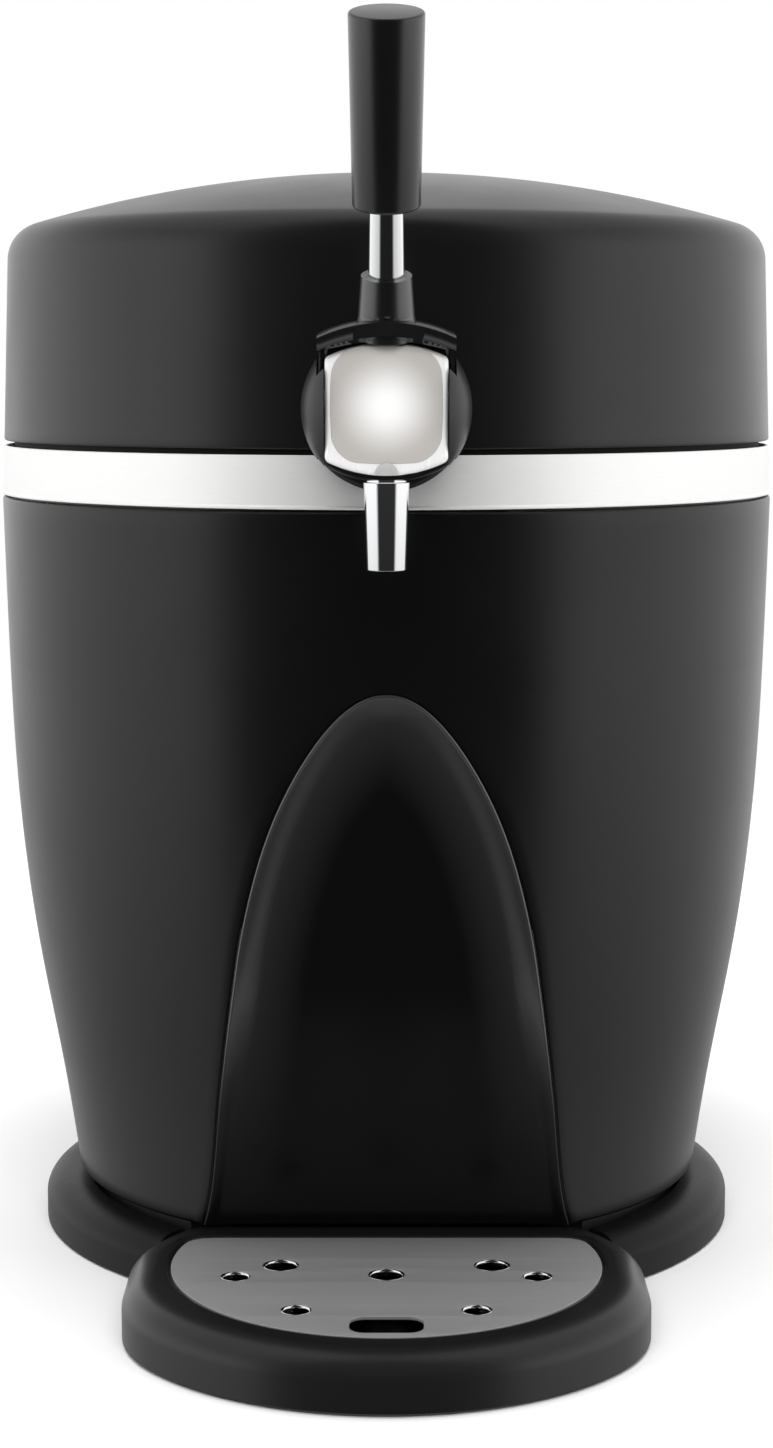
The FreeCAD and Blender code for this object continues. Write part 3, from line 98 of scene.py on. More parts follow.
def paint(tree, inputs, kind="ShaderNodeBsdfPrincipled"):
    shader = addNode(tree, kind, inputs)
    addNode(tree, "ShaderNodeOutputMaterial", {"Surface": shader.outputs[0]})


def mouldedPlastic(name, colour, paler, roughness, ior, grainMm, grainStrength, specular=0.5):
    # spark-eroded mould skin: a fine grain in the bump, and a slow drift in the gloss
    material, tree, place = newMaterial(name)
    grain = noise(tree, place, 1 / (grainMm * mm), 3.0, 0.6)
    drift = noise(tree, place, 1 / (60 * mm), 2.0)
    gloss = ramp(tree, drift, (0.3, 0.7), (roughness - 0.03, roughness + 0.03))
    paint(tree, {"Base Color": blend(tree, grain, colour, paler), "Roughness": gloss, "IOR": ior,
                 "Normal": bumped(tree, grain, grainStrength, 0.05), "Specular IOR Level": specular})
    return material


def brushedMetal(name, colour, paler, roughness, spread, depth, line, metallic=1.0, run="up", radiusMm=0.0):
    # brush lines of the given length and width run up, along the part, or round it where it is turned
    material, tree, place = newMaterial(name)
    if run == "round":
        parts = addNode(tree, "ShaderNodeSeparateXYZ", {0: place}).outputs
        arcLength = mathNode(tree, "MULTIPLY", mathNode(tree, "ARCTAN2", parts[1], parts[0]), radiusMm * mm)
        place = addNode(tree, "ShaderNodeCombineXYZ", {0: arcLength, 1: 0.0, 2: parts[2]}).outputs[0]
    along, across = (1 / (size * mm) for size in line)
    scale = (across, across, along) if run == "up" else (along, across, across)
    stretched = addNode(tree, "ShaderNodeMapping", {"Vector": place, "Scale": scale}).outputs[0]
    lines = noise(tree, stretched, 1.0, 4.0, 0.65)
    gloss = ramp(tree, lines, (0.3, 0.7), (roughness - spread, roughness + spread))
    paint(tree, {"Base Color": blend(tree, lines, colour, paler), "Roughness": gloss,
                 "Normal": bumped(tree, lines, depth, 0.02), "Metallic": metallic})
    return material


# plastics: colour, paler colour, roughness, IOR, grain in mm, grain strength
# the barrel: near black, satin, reflects the sides softly
blackAbs = mouldedPlastic("mouldedBlackAbs", "080809", "0C0C0D", 0.3, 1.5, 0.9, 0.12)
# the lid: the same resin, painted a touch paler all over for the light its top face catches
lidAbs = mouldedPlastic("mouldedLidAbs", "0D0D0E", "131314", 0.32, 1.5, 0.9, 0.14, 0.58)
# tray and rear grille: greyer, they are wiped down often
trayAbs = mouldedPlastic("mouldedTrayAbs", "131314", "191919", 0.32, 1.5, 0.8, 0.16)
# foot ring: the dullest of the black mouldings
baseAbs = mouldedPlastic("mouldedBaseAbs", "0C0C0D", "121213", 0.42, 1.5, 0.8, 0.16, 0.22)
# the lever's fork and socket: strong clean gloss, black in the middle
forkAbs = mouldedPlastic("polishedForkAbs", "0A0A0B", "0F0F10", 0.3, 1.72, 0.6, 0.08, 1.0)
# valve body, collar and bearing caps: satin gloss
tapAbs = mouldedPlastic("mouldedTapAbs", "0D0D0E", "131314", 0.33, 1.5, 0.6, 0.12, 0.45)
# the grip's rubbery lacquer: broad, soft sheen
gripPlastic = mouldedPlastic("softTouchGrip", "0C0C0D", "111112", 0.26, 1.5, 0.5, 0.2, 0.95)
# inner covers and frames: dull grey black
innerPlastic = mouldedPlastic("mouldedDarkPolypropylene", "232325", "2C2C2F", 0.5, 1.49, 0.8, 0.2)
# seals and foot strip: no gloss to speak of
sealRubber = mouldedPlastic("mouldedNitrileRubber", "17171A", "202022", 0.7, 1.52, 0.7, 0.3)
# the rocker: saturated red, clean gloss
switchPlastic = mouldedPlastic("mouldedRedNylon", "8E1414", "A31C1A", 0.25, 1.53, 0.8, 0.05)
# hose fittings: milky, waxy
fittingPlastic = mouldedPlastic("mouldedNaturalAcetal", "D9D8D2", "E6E5E0", 0.35, 1.48, 0.8, 0.08)
# beer hose: pale, slightly cloudy, wet look
hoseVinyl = mouldedPlastic("extrudedClearVinyl", "C9CEC9", "DADFDA", 0.2, 1.53, 1.5, 0.05)
# lead insulation: plain black, a weak sheen
wireVinyl = mouldedPlastic("extrudedBlackVinyl", "161616", "1F1F1F", 0.4, 1.53, 0.6, 0.1)
# cooling module plates: chalk white, dry
moduleCeramic = mouldedPlastic("sinteredAlumina", "E4E3DE", "F0EFEA", 0.6, 1.77, 0.5, 0.2)
# power board: solder mask green
boardResin = mouldedPlastic("etchedGreenEpoxy", "14502C", "1C6438", 0.3, 1.5, 1.2, 0.15)

# metals: colour, paler colour, roughness and its spread, depth, length and width of a line in mm
# flake lacquer on plastic: fine grain round the part, pale all over
bandSilver = brushedMetal("silverLacqueredBand", "F3F3F2", "FEFEFD", 0.4, 0.05, 0.25, (9.0, 0.35), 0.38, "round", 138)
# drip plate: brush lines left to right, mid grey from above
plateSteel = brushedMetal("brushedStainlessPlate", "A6A6A7", "BEBEBF", 0.52, 0.06, 0.3, (22.0, 0.35), 0.6, "along")
# the tap's face rim: chrome, given a near-white colour and little metal so it shows white from every side, a painted
# reflection
chromeFrameWhitePainted = brushedMetal("chromeFramePaintedReflection", "FBFBFA", "FFFFFF", 0.25, 0.04, 0.05, (6.0, 0.8), 0.12)
# the button under the badge: matt silver, greyer than the frame
bossSilver = brushedMetal("silverMouldedBoss", "BDBDBC", "CACAC9", 0.35, 0.04, 0.05, (2.0, 0.5), 0.15)
# screws and pins: pale, faintly blue, even
screwSteel = brushedMetal("zincPlatedSteel", "A4A7AB", "BCBFC3", 0.3, 0.05, 0.15, (3.0, 0.4))
# keg chamber and heat sink: turned rings, soft glow
linerAluminium = brushedMetal("spunAluminium", "C4C6C8", "D6D8DA", 0.33, 0.06, 0.3, (30.0, 0.5), 1.0, "round", 90)


def platedChrome():
    # bright chrome over moulded plastic: mirror sharp, with a faint long ripple from the moulding
    material, tree, place = newMaterial("platedChrome")
    ripple = noise(tree, place, 1 / (14 * mm), 1.0)
    haze = noise(tree, place, 1 / (3 * mm), 4.0)
    paint(tree, {"Base Color": hexColour("FAFBFC"), "Roughness": ramp(tree, haze, (0.35, 0.75), (0.04, 0.09)),
                 "Normal": bumped(tree, ripple, 0.1, 0.1), "Metallic": 1.0})
    return material


def pearlWithPaintedHighlight(centre, highlightRimMm):
    # pearl lacquer with a painted highlight: white in the middle, fading to warm silver outside
    material, tree, place = newMaterial("pearlLacquerPaintedHighlight")
    centred = addNode(tree, "ShaderNodeMapping",
                      {"Vector": place, "Location": [-value * mm for value in centre]}, vector_type="POINT")
    distance = addNode(tree, "ShaderNodeVectorMath", {0: centred.outputs[0]}, operation="LENGTH").outputs["Value"]
    # the blend from white in the middle to warm silver at the rim is a painted highlight
    ring = ramp(tree, distance, (1 * mm, highlightRimMm * mm), kind="SMOOTHSTEP")
    flakes = addNode(tree, "ShaderNodeTexVoronoi", {"Vector": place, "Scale": 1 / (0.5 * mm)})
    paint(tree, {"Base Color": blend(tree, ring, "FFFFFE", "BDB9B5"), "IOR": 1.5, "Metallic": 0.0,
                 "Roughness": ramp(tree, flakes.outputs["Distance"], (0.0, 1.0), (0.3, 0.42)),
                 "Coat Weight": 0.25, "Coat Roughness": 0.15})
    return material


def nicheWithPaintedSheen(flat, edge):
    # along the arch's crest the colour turns paler, a painted sheen, and the specular rises; the flat stays dull black
    material, tree, place = newMaterial("nicheAbsPaintedSheen")
    grain = noise(tree, place, 1 / (0.8 * mm), 3.0)
    paintedSheen = addNode(tree, "ShaderNodeAttribute", attribute_name="paintedSheen").outputs["Fac"]
    gleam = ramp(tree, paintedSheen, (0.45, 1.0), (flat["gloss"], edge["gloss"]), "SMOOTHSTEP")
    # the blend to the paler edge colour is painted sheen
    paint(tree, {"Base Color": blend(tree, paintedSheen, flat["colour"], edge["colour"]), "IOR": 1.7,
                 "Roughness": ramp(tree, grain, (0.0, 1.0), (0.22, 0.28)),
                 "Normal": bumped(tree, grain, 0.06, 0.05), "Specular IOR Level": gleam})
    return material


def foamedCells():
    # poured insulation: cream, closed cells a few millimetres wide
    material, tree, place = newMaterial("pouredPolyurethaneFoam")
    cells = addNode(tree, "ShaderNodeTexVoronoi", {"Vector": place, "Scale": 1 / (2.2 * mm)}).outputs["Distance"]
    paint(tree, {"Base Color": blend(tree, cells, "D8CFAE", "E9E2C8"), "Roughness": 0.85,
                 "Normal": bumped(tree, cells, 0.5, 0.4), "IOR": 1.45})
    return material


chrome = platedChrome()
foam = foamedCells()
# the paler edge colour here is the painted sheen along the crest
nicheAbs = nicheWithPaintedSheen({"gloss": 0.12, "colour": "0B0B0C"}, {"gloss": 0.85, "colour": "2B2B2C"})
print("materials made")


# mesh helpers


def curveThrough(points):
    # natural cubic through (height, value) pairs, as a function of height
    xs = [p[0] for p in points]
    ys = [p[1] for p in points]
    n = len(xs)
    steps = [xs[i + 1] - xs[i] for i in range(n - 1)]
    upper = [0.0] * n
    result = [0.0] * n
    for i in range(1, n - 1):
        slope = 3 * ((ys[i + 1] - ys[i]) / steps[i] - (ys[i] - ys[i - 1]) / steps[i - 1])
        pivot = 2 * (xs[i + 1] - xs[i - 1]) - steps[i - 1] * upper[i - 1]
        upper[i] = steps[i] / pivot
        result[i] = (slope - steps[i - 1] * result[i - 1]) / pivot
    bend = [0.0] * n
    for i in range(n - 2, 0, -1):
        bend[i] = result[i] - upper[i] * bend[i + 1]

    def value(x):
        i = max(0, min(n - 2, sum(1 for knot in xs if knot <= x) - 1))
        t = x - xs[i]
        first = (ys[i + 1] - ys[i]) / steps[i] - steps[i] * (bend[i + 1] + 2 * bend[i]) / 3
        return ys[i] + first * t + bend[i] * t * t + (bend[i + 1] - bend[i]) / (3 * steps[i]) * t ** 3

    return value


def placed(name, data):
    holder = bpy.data.objects.new(name, data)
    bpy.context.scene.collection.objects.link(holder)
    return holder


def meshOf(work, name):
    mesh = bpy.data.meshes.new(name)
    work.to_mesh(mesh)
    work.free()
    return mesh


def joinedMesh(name, parts):
    work = bmesh.new()
    for part in parts:
        work.from_mesh(part)
    return meshOf(work, name)


def cleaned(mesh, distance, dissolve=False):
    # doubled points joined, loose edges dropped, faces turned outward
    work = bmesh.new()
    work.from_mesh(mesh)
    bmesh.ops.remove_doubles(work, verts=work.verts, dist=distance)
    if dissolve:
        bmesh.ops.dissolve_degenerate(work, edges=work.edges, dist=distance)
    bmesh.ops.delete(work, geom=[edge for edge in work.edges if not edge.link_faces], context="EDGES")
    bmesh.ops.recalc_face_normals(work, faces=work.faces)
    work.to_mesh(mesh)
    work.free()
    return mesh


def bakedMesh(holder, name):
    # what an object's curve, nodes or modifiers make, as a plain mesh; the object is removed
    bpy.context.view_layer.update()
    mesh = bpy.data.meshes.new_from_object(holder.evaluated_get(bpy.context.evaluated_depsgraph_get()))
    mesh.name = name
    holder.modifiers.clear()
    bpy.data.objects.remove(holder)
    return mesh


def booleanMesh(name, mesh, tool, way="DIFFERENCE"):
    # one solid cut from or joined with another, as a plain mesh
    holder, other = placed(name + "Holder", mesh), placed(name + "Tool", tool)
    cut = holder.modifiers.new("cut", "BOOLEAN")
    cut.operation = way
    cut.solver = "EXACT"
    cut.object = other
    result = bakedMesh(holder, name)
    bpy.data.objects.remove(other)
    return result


def finishPiece(mesh, name, body, material, stands=(), angle=35):
    cleaned(mesh, 0.002 * mm, dissolve=True)
    mesh.shade_smooth()
    mesh.set_sharp_from_angle(angle=math.radians(angle))
    mesh.materials.clear()
    mesh.materials.append(material)
    piece = placed(name, mesh)
    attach(piece, body)
    if stands:
        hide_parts(*stands)
    return piece


def addWall(piece, thickness):
    wall = piece.modifiers.new("wall", "SOLIDIFY")
    wall.thickness = thickness * mm
    wall.offset = -1.0


def quarter(count, first=0):
    # sine and cosine at even steps of a quarter turn
    turns = [math.pi / 2 * k / count for k in range(first, count + 1)]
    return [(math.sin(turn), math.cos(turn)) for turn in turns]


def around(radius, z, start, count, first=0):
    # points on a level arc from the given turn, counted from the front, to the back
    turns = [start + (math.pi - start) * k / count for k in range(first, count + 1)]
    return [(radius * math.sin(turn), -radius * math.cos(turn), z) for turn in turns]


def atHeight(loop, z):
    return [(point.x, point.y, z) for point in loop]


def nodeTree(name, inputs):
    # a geometry tree with named inputs, and the sockets they arrive on
    tree = bpy.data.node_groups.new(name, "GeometryNodeTree")
    for socket, kind in (("Geometry", "Geometry"), *inputs):
        tree.interface.new_socket(socket, in_out="INPUT", socket_type="NodeSocket" + kind)
    tree.interface.new_socket("Geometry", in_out="OUTPUT", socket_type="NodeSocketGeometry")
    return tree, addNode(tree, "NodeGroupInput").outputs


def closeTree(tree, geometry, material):
    solid = addNode(tree, "GeometryNodeRealizeInstances", {"Geometry": geometry})
    painted = addNode(tree, "GeometryNodeSetMaterial", {"Geometry": solid.outputs[0], "Material": material})
    addNode(tree, "NodeGroupOutput", {"Geometry": painted.outputs["Geometry"]})


def runTree(tree, name, points, edges, values):
    # the tree's result on the given points, with its named inputs set
    base = bpy.data.meshes.new(name + "Points")
    base.from_pydata(points, edges, [])
    holder = placed(name + "Holder", base)
    setter = holder.modifiers.new("set", "NODES")
    setter.node_group = tree
    for item in tree.interface.items_tree:
        if item.name in values:
            setter[item.identifier] = values[item.name]
    return bakedMesh(holder, name)


def gridMesh(name, rows, closedAcross=False, capStart=False, capEnd=False, mirrored=False):
    # rows of points in millimetres; neighbouring rows are joined by quads
    verts = [tuple(c * mm for c in point) for row in rows for point in row]
    width = len(rows[0])
    faces = []
    spans = width if closedAcross else width - 1
    for r in range(len(rows) - 1):
        for c in range(spans):
            d = (c + 1) % width
            faces.append((r * width + c, r * width + d, (r + 1) * width + d, (r + 1) * width + c))
    if capStart:
        faces.append(tuple(range(width))[::-1])
    if capEnd:
        faces.append(tuple((len(rows) - 1) * width + c for c in range(width)))
    if mirrored:
        count = len(verts)
        verts += [(-x, y, z) for x, y, z in verts]
        faces += [tuple(count + v for v in reversed(face)) for face in faces]
    mesh = bpy.data.meshes.new(name)
    mesh.from_pydata(verts, [], faces)
    return mesh


def softened(corners, steps=5):
    # corners of a profile as (radius, height, rounding), each turned into a short arc
    out = []
    count = len(corners)
    for k in range(count):
        here = Vector(corners[k][:2])
        size = corners[k][2]
        if size <= 0:
            out.append(tuple(here))
            continue
        before = (Vector(corners[k - 1][:2]) - here).normalized()
        after = (Vector(corners[(k + 1) % count][:2]) - here).normalized()
        half = before.angle(after) / 2
        reach = size / math.tan(half)
        centre = here + (before + after).normalized() * (size / math.sin(half))
        first = here + before * reach - centre
        last = here + after * reach - centre
        sweep = first.angle_signed(last)
        for s in range(steps + 1):
            turn = -sweep * s / steps
            out.append((centre.x + first.x * math.cos(turn) - first.y * math.sin(turn),
                        centre.y + first.x * math.sin(turn) + first.y * math.cos(turn)))
    return out


def turnedMesh(name, profile, sides, place=None):
    # a closed profile of (radius, height) turned about the upright axis, then put in place
    rows = []
    for k in range(sides):
        turn = 2 * math.pi * k / sides
        rows.append([(radius * math.sin(turn), -radius * math.cos(turn), height) for radius, height in profile])
    rows.append(rows[0])
    mesh = gridMesh(name, rows, closedAcross=True)
    if place is not None:
        mesh.transform(place)
    return mesh


def pointing(origin, way):
    # places a shape made about the upright axis at origin (mm), its top towards way
    turn = Vector(way).to_track_quat("Z", "Y").to_matrix().to_4x4()
    return Matrix.Translation(Vector(origin) * mm) @ turn


# barrel and niche

barrel = {
    "outline": ((20.9, 114.5), (58.0, 120.1), (97.0, 127.2), (152.0, 134.3), (215.0, 137.6), (267.3, 139.0)),
    "bottom": 20.9,
    "top": 267.3,
    "neckRadius": 136.9,
    "neckTop": 280.4,
    "wall": 2.4,
    "edge": 1.3,
    "columns": 96,
    "nicheRows": 70,
    "floorColumns": 14,
    "crestRound": ((0, 1.0), (0.35, 0.35), (0.9, 0.0)),
    "crestDrop": 0.35,
    "crestFade": 6.0,
}
niche = {
    "outline": ((10.0, 93.0), (20.9, 96.8), (65.0, 106.3), (108.0, 117.6), (159.0, 128.7), (209.0, 137.4),
                (231.0, 141.2)),
    "recess": 3.4,
    "panelBack": 3.2,
    "sink": 2.5,
    "coveWidth": ((20.0, 3.0), (60.0, 5.0), (93.0, 7.0), (124.0, 8.6), (160.0, 9.0), (212.0, 9.0)),
    "coveBend": 1.6,
    "widen": ((20.0, 1.09), (44.0, 1.066), (60.0, 1.04), (76.0, 1.02), (93.0, 1.02), (109.0, 1.036), (124.0, 1.056),
              (140.0, 1.066), (170.0, 1.064), (190.0, 1.03), (209.1, 1.0), (216.0, 1.0)),
    # how far in from the crest, and over which heights from the foot up, the painted sheen fades in
    "paintedSheenWidth": 24.0,
    "paintedSheenFoot": (22.0, 105.0),
    "seam": 0.3,
    "rows": 80,
    "columns": 60,
    "bead": ((0.0, -0.35), (0.15, 0.0), (0.4, 0.26), (0.65, 0.34), (0.9, 0.26), (1.15, 0.0)),
    "farCentre": 900.0,
}
barrelRadius = curveThrough(barrel["outline"])
nicheDepth = curveThrough(niche["outline"])
crestWiden = curveThrough(niche["widen"])
coveWidth = curveThrough(niche["coveWidth"])


def crossing(z):
    # half width of the line where the niche's bowed face meets the barrel
    radius = barrelRadius(z)
    far = niche["farCentre"]
    arc = far - nicheDepth(z)
    y = (arc ** 2 - far ** 2 - radius ** 2) / (2 * far)
    return math.sqrt(max(0.0, radius ** 2 - y ** 2)) if abs(y) < radius else 0.0


def findApex():
    low, high = 100.0, 235.0
    for _ in range(50):
        middle = (low + high) / 2
        if crossing(middle) > 0:
            low = middle
        else:
            high = middle
    return low


nicheApex = findApex()


def crestHalf(z, grow=0.0):
    # half width of the arch's crest line, or of the shell's edge just outside it
    base = crossing(z - grow)
    return base * crestWiden(z) + grow * min(1.0, base / 2.0)


def insideCrest(x, z):
    # distance in from the crest line, near enough
    edge = crestHalf(z)
    lean = (crestHalf(z - 0.4) - edge) / 0.4
    aside = max(1e-6, (edge - x) / math.sqrt(1 + lean * lean))
    below = max(1e-6, nicheApex - z)
    return (aside ** -3 + below ** -3) ** (-1 / 3)


def nicheFace(x, z):
    # from the crest inwards: the bead, then a cove that runs out into the flat middle
    inward = insideCrest(x, z)
    bead = niche["bead"]
    proud = 0.0
    for (s0, h0), (s1, h1) in zip(bead, bead[1:]):
        if s0 <= inward <= s1:
            proud = h0 + (h1 - h0) * (inward - s0) / (s1 - s0)
    surface = -math.sqrt(max(0.0, (barrelRadius(z) + proud) ** 2 - x * x))
    flat = -(nicheDepth(z) - niche["sink"])
    t = min(1.0, max(0.0, inward - bead[-1][0]) / coveWidth(z))
    return flat + (surface - flat) * (1 - t) ** niche["coveBend"]


def barrelRow(z, inset):
    # one level of the shell, from the middle of the niche round to the back
    radius = barrelRadius(min(z, barrel["top"])) - inset
    edge = crestHalf(z, niche["seam"]) if z < nicheApex + niche["seam"] else 0.0
    row = []
    for sine, _ in quarter(barrel["floorColumns"]):
        x = min(0.998, sine) * edge
        y = -(nicheDepth(z) - niche["recess"]) + inset if edge > 0 else -radius
        row.append((x, max(y, -math.sqrt(radius ** 2 - x * x)), z))
    start = math.asin(min(1.0, edge / radius))
    size = min(1.0, edge / barrel["crestFade"])
    for ahead, sink in barrel["crestRound"]:
        first = start + ahead / radius * size
        r = radius - size * barrel["crestDrop"] * sink
        row.append((r * math.sin(first), -r * math.cos(first), z))
    return row + around(radius, z, first, barrel["columns"], 1)


def nicheLevels(bottom, apex, steps):
    # heights from the foot to the apex, closer together towards the apex
    return [apex - (apex - bottom) * (1 - k / steps) ** 2 for k in range(steps + 1)]


def makeBarrel():
    apex = nicheApex + niche["seam"]
    bottom, top, edge = barrel["bottom"], barrel["top"], barrel["edge"]
    levels = [(bottom + edge * (1 - cosine), edge * (1 - sine)) for sine, cosine in quarter(4)]
    levels += [(z, 0.0) for z in nicheLevels(bottom, apex, barrel["nicheRows"]) if z > bottom + edge + 0.5]
    levels += [(apex + (top - edge - apex) * k / 10, 0.0) for k in range(1, 11)]
    levels += [(top - edge * (1 - sine), edge * (1 - cosine)) for sine, cosine in quarter(4, 1)]
    rows = [barrelRow(z, inset) for z, inset in levels]
    neck = barrelRow(top, barrelRadius(top) - barrel["neckRadius"])
    rows += [[(x, y, z) for x, y, _ in neck] for z in (top, barrel["neckTop"])]
    mesh = gridMesh("barrelShell", rows, mirrored=True)
    shell = finishPiece(mesh, "barrelShell", "dispenser", blackAbs, ["body_shell"], angle=24)
    addWall(shell, barrel["wall"])


def makeNichePanel():
    rows = []
    for z in nicheLevels(barrel["bottom"] + 0.4, nicheApex - 0.005, niche["rows"]):
        across = [crestHalf(z) * sine for sine, _ in quarter(niche["columns"])]
        back = -(nicheDepth(z) - niche["panelBack"])
        row = [(x, min(nicheFace(x, z), back - 0.1), z) for x in across]
        rows.append(row + [(x, back, z) for x in reversed(across)])
    # the foot is closed by the lowest row laid on its own back edge
    lowest = rows[0]
    rows.insert(0, [lowest[-1 - c] if c < len(lowest) // 2 else lowest[c] for c in range(len(lowest))])
    mesh = gridMesh("nichePanel", rows, mirrored=True)
    finishPiece(mesh, "nichePanel", "dispenser", nicheAbs, ["niche_panel"], angle=40)
    # painted sheen mask: full at the crest, fading inwards and to nothing towards the foot
    paintedSheen = mesh.attributes.new("paintedSheen", "FLOAT", "POINT")
    low, high = niche["paintedSheenFoot"]
    for spot, vertex in zip(paintedSheen.data, mesh.vertices):
        x, z = abs(vertex.co.x) / mm, vertex.co.z / mm
        spot.value = max(0.0, 1 - insideCrest(x, z) / niche["paintedSheenWidth"]) * min(1, max(0, (z - low) / (high - low)))


makeBarrel()
makeNichePanel()
print("barrel and niche made")


# lid

lid = {
    "bottom": 286.9,
    "footRadius": 138.1,
    "slope": 0.034,
    "corner": 13.0,
    "domeRadius": 440.0,
    "apex": 381.5,
    "wall": 2.7,
    "edge": 0.9,
    "notchHalf": 12.5,
    "notchTop": 300.4,
    "columns": 96,
}


def lidProfile():
    # radius and height from the lower edge up the side, round the shoulder and over the dome
    bottom, foot, slope = lid["bottom"], lid["footRadius"], lid["slope"]
    corner, dome = lid["corner"], lid["domeRadius"]
    edge, notchTop, half = lid["edge"], lid["notchTop"], lid["notchHalf"]
    tilt = math.atan(slope)
    domeZ = lid["apex"] - dome
    cornerZ = lid["apex"] - 30.0
    for _ in range(40):
        cornerX = foot + slope * (bottom - cornerZ) - corner / math.cos(tilt)
        cornerZ = domeZ + math.sqrt((dome - corner) ** 2 - cornerX ** 2)
    lean = math.atan2(cornerX, cornerZ - domeZ)
    sideAngle = math.pi / 2 - tilt
    sideTop = cornerZ + corner * math.cos(sideAngle)

    def side(z):
        return foot - slope * (z - bottom)

    points = [(side(bottom) - edge * (1 - sine), bottom + edge * (1 - cosine)) for sine, cosine in quarter(3)]
    heights = [290.5, 294.0, 297.0] + [notchTop + half * sine for sine, _ in quarter(9)]
    heights += [notchTop + half + (sideTop - notchTop - half) * k / 8 for k in range(1, 9)]
    points += [(side(z), z) for z in heights]
    for k in range(1, 17):
        turn = sideAngle + (lean - sideAngle) * k / 16
        points.append((cornerX + corner * math.sin(turn), cornerZ + corner * math.cos(turn)))
    for k in range(1, 41):
        turn = lean * (1 - k / 40)
        points.append((dome * math.sin(turn), domeZ + dome * math.cos(turn)))
    return points


def makeLid():
    rows = []
    for radius, z in lidProfile():
        # the rim opens in an arch over the tap's neck
        rise = z - lid["notchTop"]
        half = math.sqrt(lid["notchHalf"] ** 2 - max(0.0, rise) ** 2) if rise < lid["notchHalf"] - 0.001 else 0.0
        rows.append(around(radius, z, math.asin(half / radius) if half else 0.0, lid["columns"]))
    mesh = gridMesh("lidShell", rows, mirrored=True)
    shell = finishPiece(mesh, "lidShell", "lid", lidAbs, ["lid_shell"], angle=40)
    addWall(shell, lid["wall"])


makeLid()
print("lid made")


# trim band

band = {
    "inner": 137.1,
    "bottom": 268.0,
    "top": 285.2,
    "lowRadius": 138.6,
    "highRadius": 138.1,
    "lip": 139.05,
    "lipHeight": 1.3,
    "sides": 256,
}


def makeBand():
    # a closed section swept round a circle, the path and its fineness being the tree's inputs
    inner, bottom, lip = band["inner"], band["bottom"], band["lip"]
    profile = softened([
        (inner, bottom, 0.0),
        (lip, bottom, 0.25),
        (lip, bottom + band["lipHeight"] * 0.55, 0.2),
        (band["lowRadius"], bottom + band["lipHeight"], 0.15),
        (band["highRadius"], band["top"], 0.4),
        (inner, band["top"], 0.0),
    ], steps=4)
    tree, given = nodeTree("trimBandSweep", (("Path Radius", "Float"), ("Sides", "Int")))
    section = addNode(tree, "GeometryNodeMeshToCurve", {"Mesh": given["Geometry"]})
    path = addNode(tree, "GeometryNodeCurvePrimitiveCircle",
                   {"Resolution": given["Sides"], "Radius": given["Path Radius"]}, mode="RADIUS")
    ring = addNode(tree, "GeometryNodeCurveToMesh",
                   {"Curve": path.outputs["Curve"], "Profile Curve": section.outputs["Curve"]})
    closeTree(tree, ring.outputs["Mesh"], bandSilver)
    points = [((radius - inner) * mm, -height * mm, 0.0) for radius, height in profile]
    edges = [(k, (k + 1) % len(points)) for k in range(len(points))]
    mesh = runTree(tree, "trimBand", points, edges, {"Path Radius": inner * mm, "Sides": band["sides"]})
    finishPiece(mesh, "trimBand", "dispenser", bandSilver, ["trim_band"], angle=30)


makeBand()
print("band made")


# drip tray and plate

tray = {
    "front": 219.0,
    "half": 86.0,
    "back": 84.0,
    "frontRadius": 92.5,
    "cornerRadius": 60.0,
    "backRadius": 55.0,
    "cornerY": 146.0,
    "backCornerY": 126.0,
    "top": 19.4,
    "edge": 8.6,
    "shoulder": 10.6,
    "dip": 0.7,
    "foot": 0.8,
    "restHeight": 3.0,
    "baseReach": 127.6,
    "basinFloor": 6.0,
    "basinBend": 3.0,
    "lip": 1.2,
}
plate = {
    "radius": 71.3,
    "centre": 128.3,
    "back": 101.5,
    "corner": 6.0,
    "top": 18.4,
    "thickness": 1.2,
    "gap": 1.0,
    "ledge": 4.0,
    "holes": ((34.9, 130.5, 5.2), (49.3, 141.7, 4.1), (28.5, 174.3, 4.1)),
    "middleHole": (0.0, 140.0, 5.2),
    "slot": (11.6, 180.6, 195.4, 5.0),
    "lip": 0.9,
    "lipDepth": 2.2,
    "lipWall": 0.35,
    "edge": 0.2,
}


def trayOutline(grow):
    # points of the tray's outline, the same count for any offset, anticlockwise from the front middle
    half, cornerY, backCornerY = tray["half"], tray["cornerY"], tray["backCornerY"]
    frontCentre = Vector((0, -tray["front"] + tray["frontRadius"]))
    cornerCentre = Vector((half - tray["cornerRadius"], -cornerY))
    backCentre = Vector((half - tray["backRadius"], -backCornerY))
    way = (cornerCentre - frontCentre).normalized()
    joinAngle = math.atan2(way.y, way.x)
    backRadius = tray["backRadius"] + grow
    backY = -tray["back"] + grow
    endAngle = math.asin((backY - backCentre.y) / backRadius)

    def arc(centre, radius, start, end, steps, first=1):
        turns = [start + (end - start) * k / steps for k in range(first, steps + 1)]
        return [centre + Vector((math.cos(turn), math.sin(turn))) * radius for turn in turns]

    loop = arc(frontCentre, tray["frontRadius"] + grow, -math.pi / 2, joinAngle, 24, 0)
    loop += arc(cornerCentre, tray["cornerRadius"] + grow, joinAngle, 0.0, 18)
    loop += [Vector((half + grow, -cornerY + (cornerY - backCornerY) * k / 4)) for k in range(1, 5)]
    loop += arc(backCentre, backRadius, 0.0, endAngle, 14)
    last = loop[-1]
    loop += [Vector((last.x * (1 - k / 8), backY)) for k in range(1, 9)]
    return loop + [Vector((-p.x, p.y)) for p in reversed(loop[1:-1])]


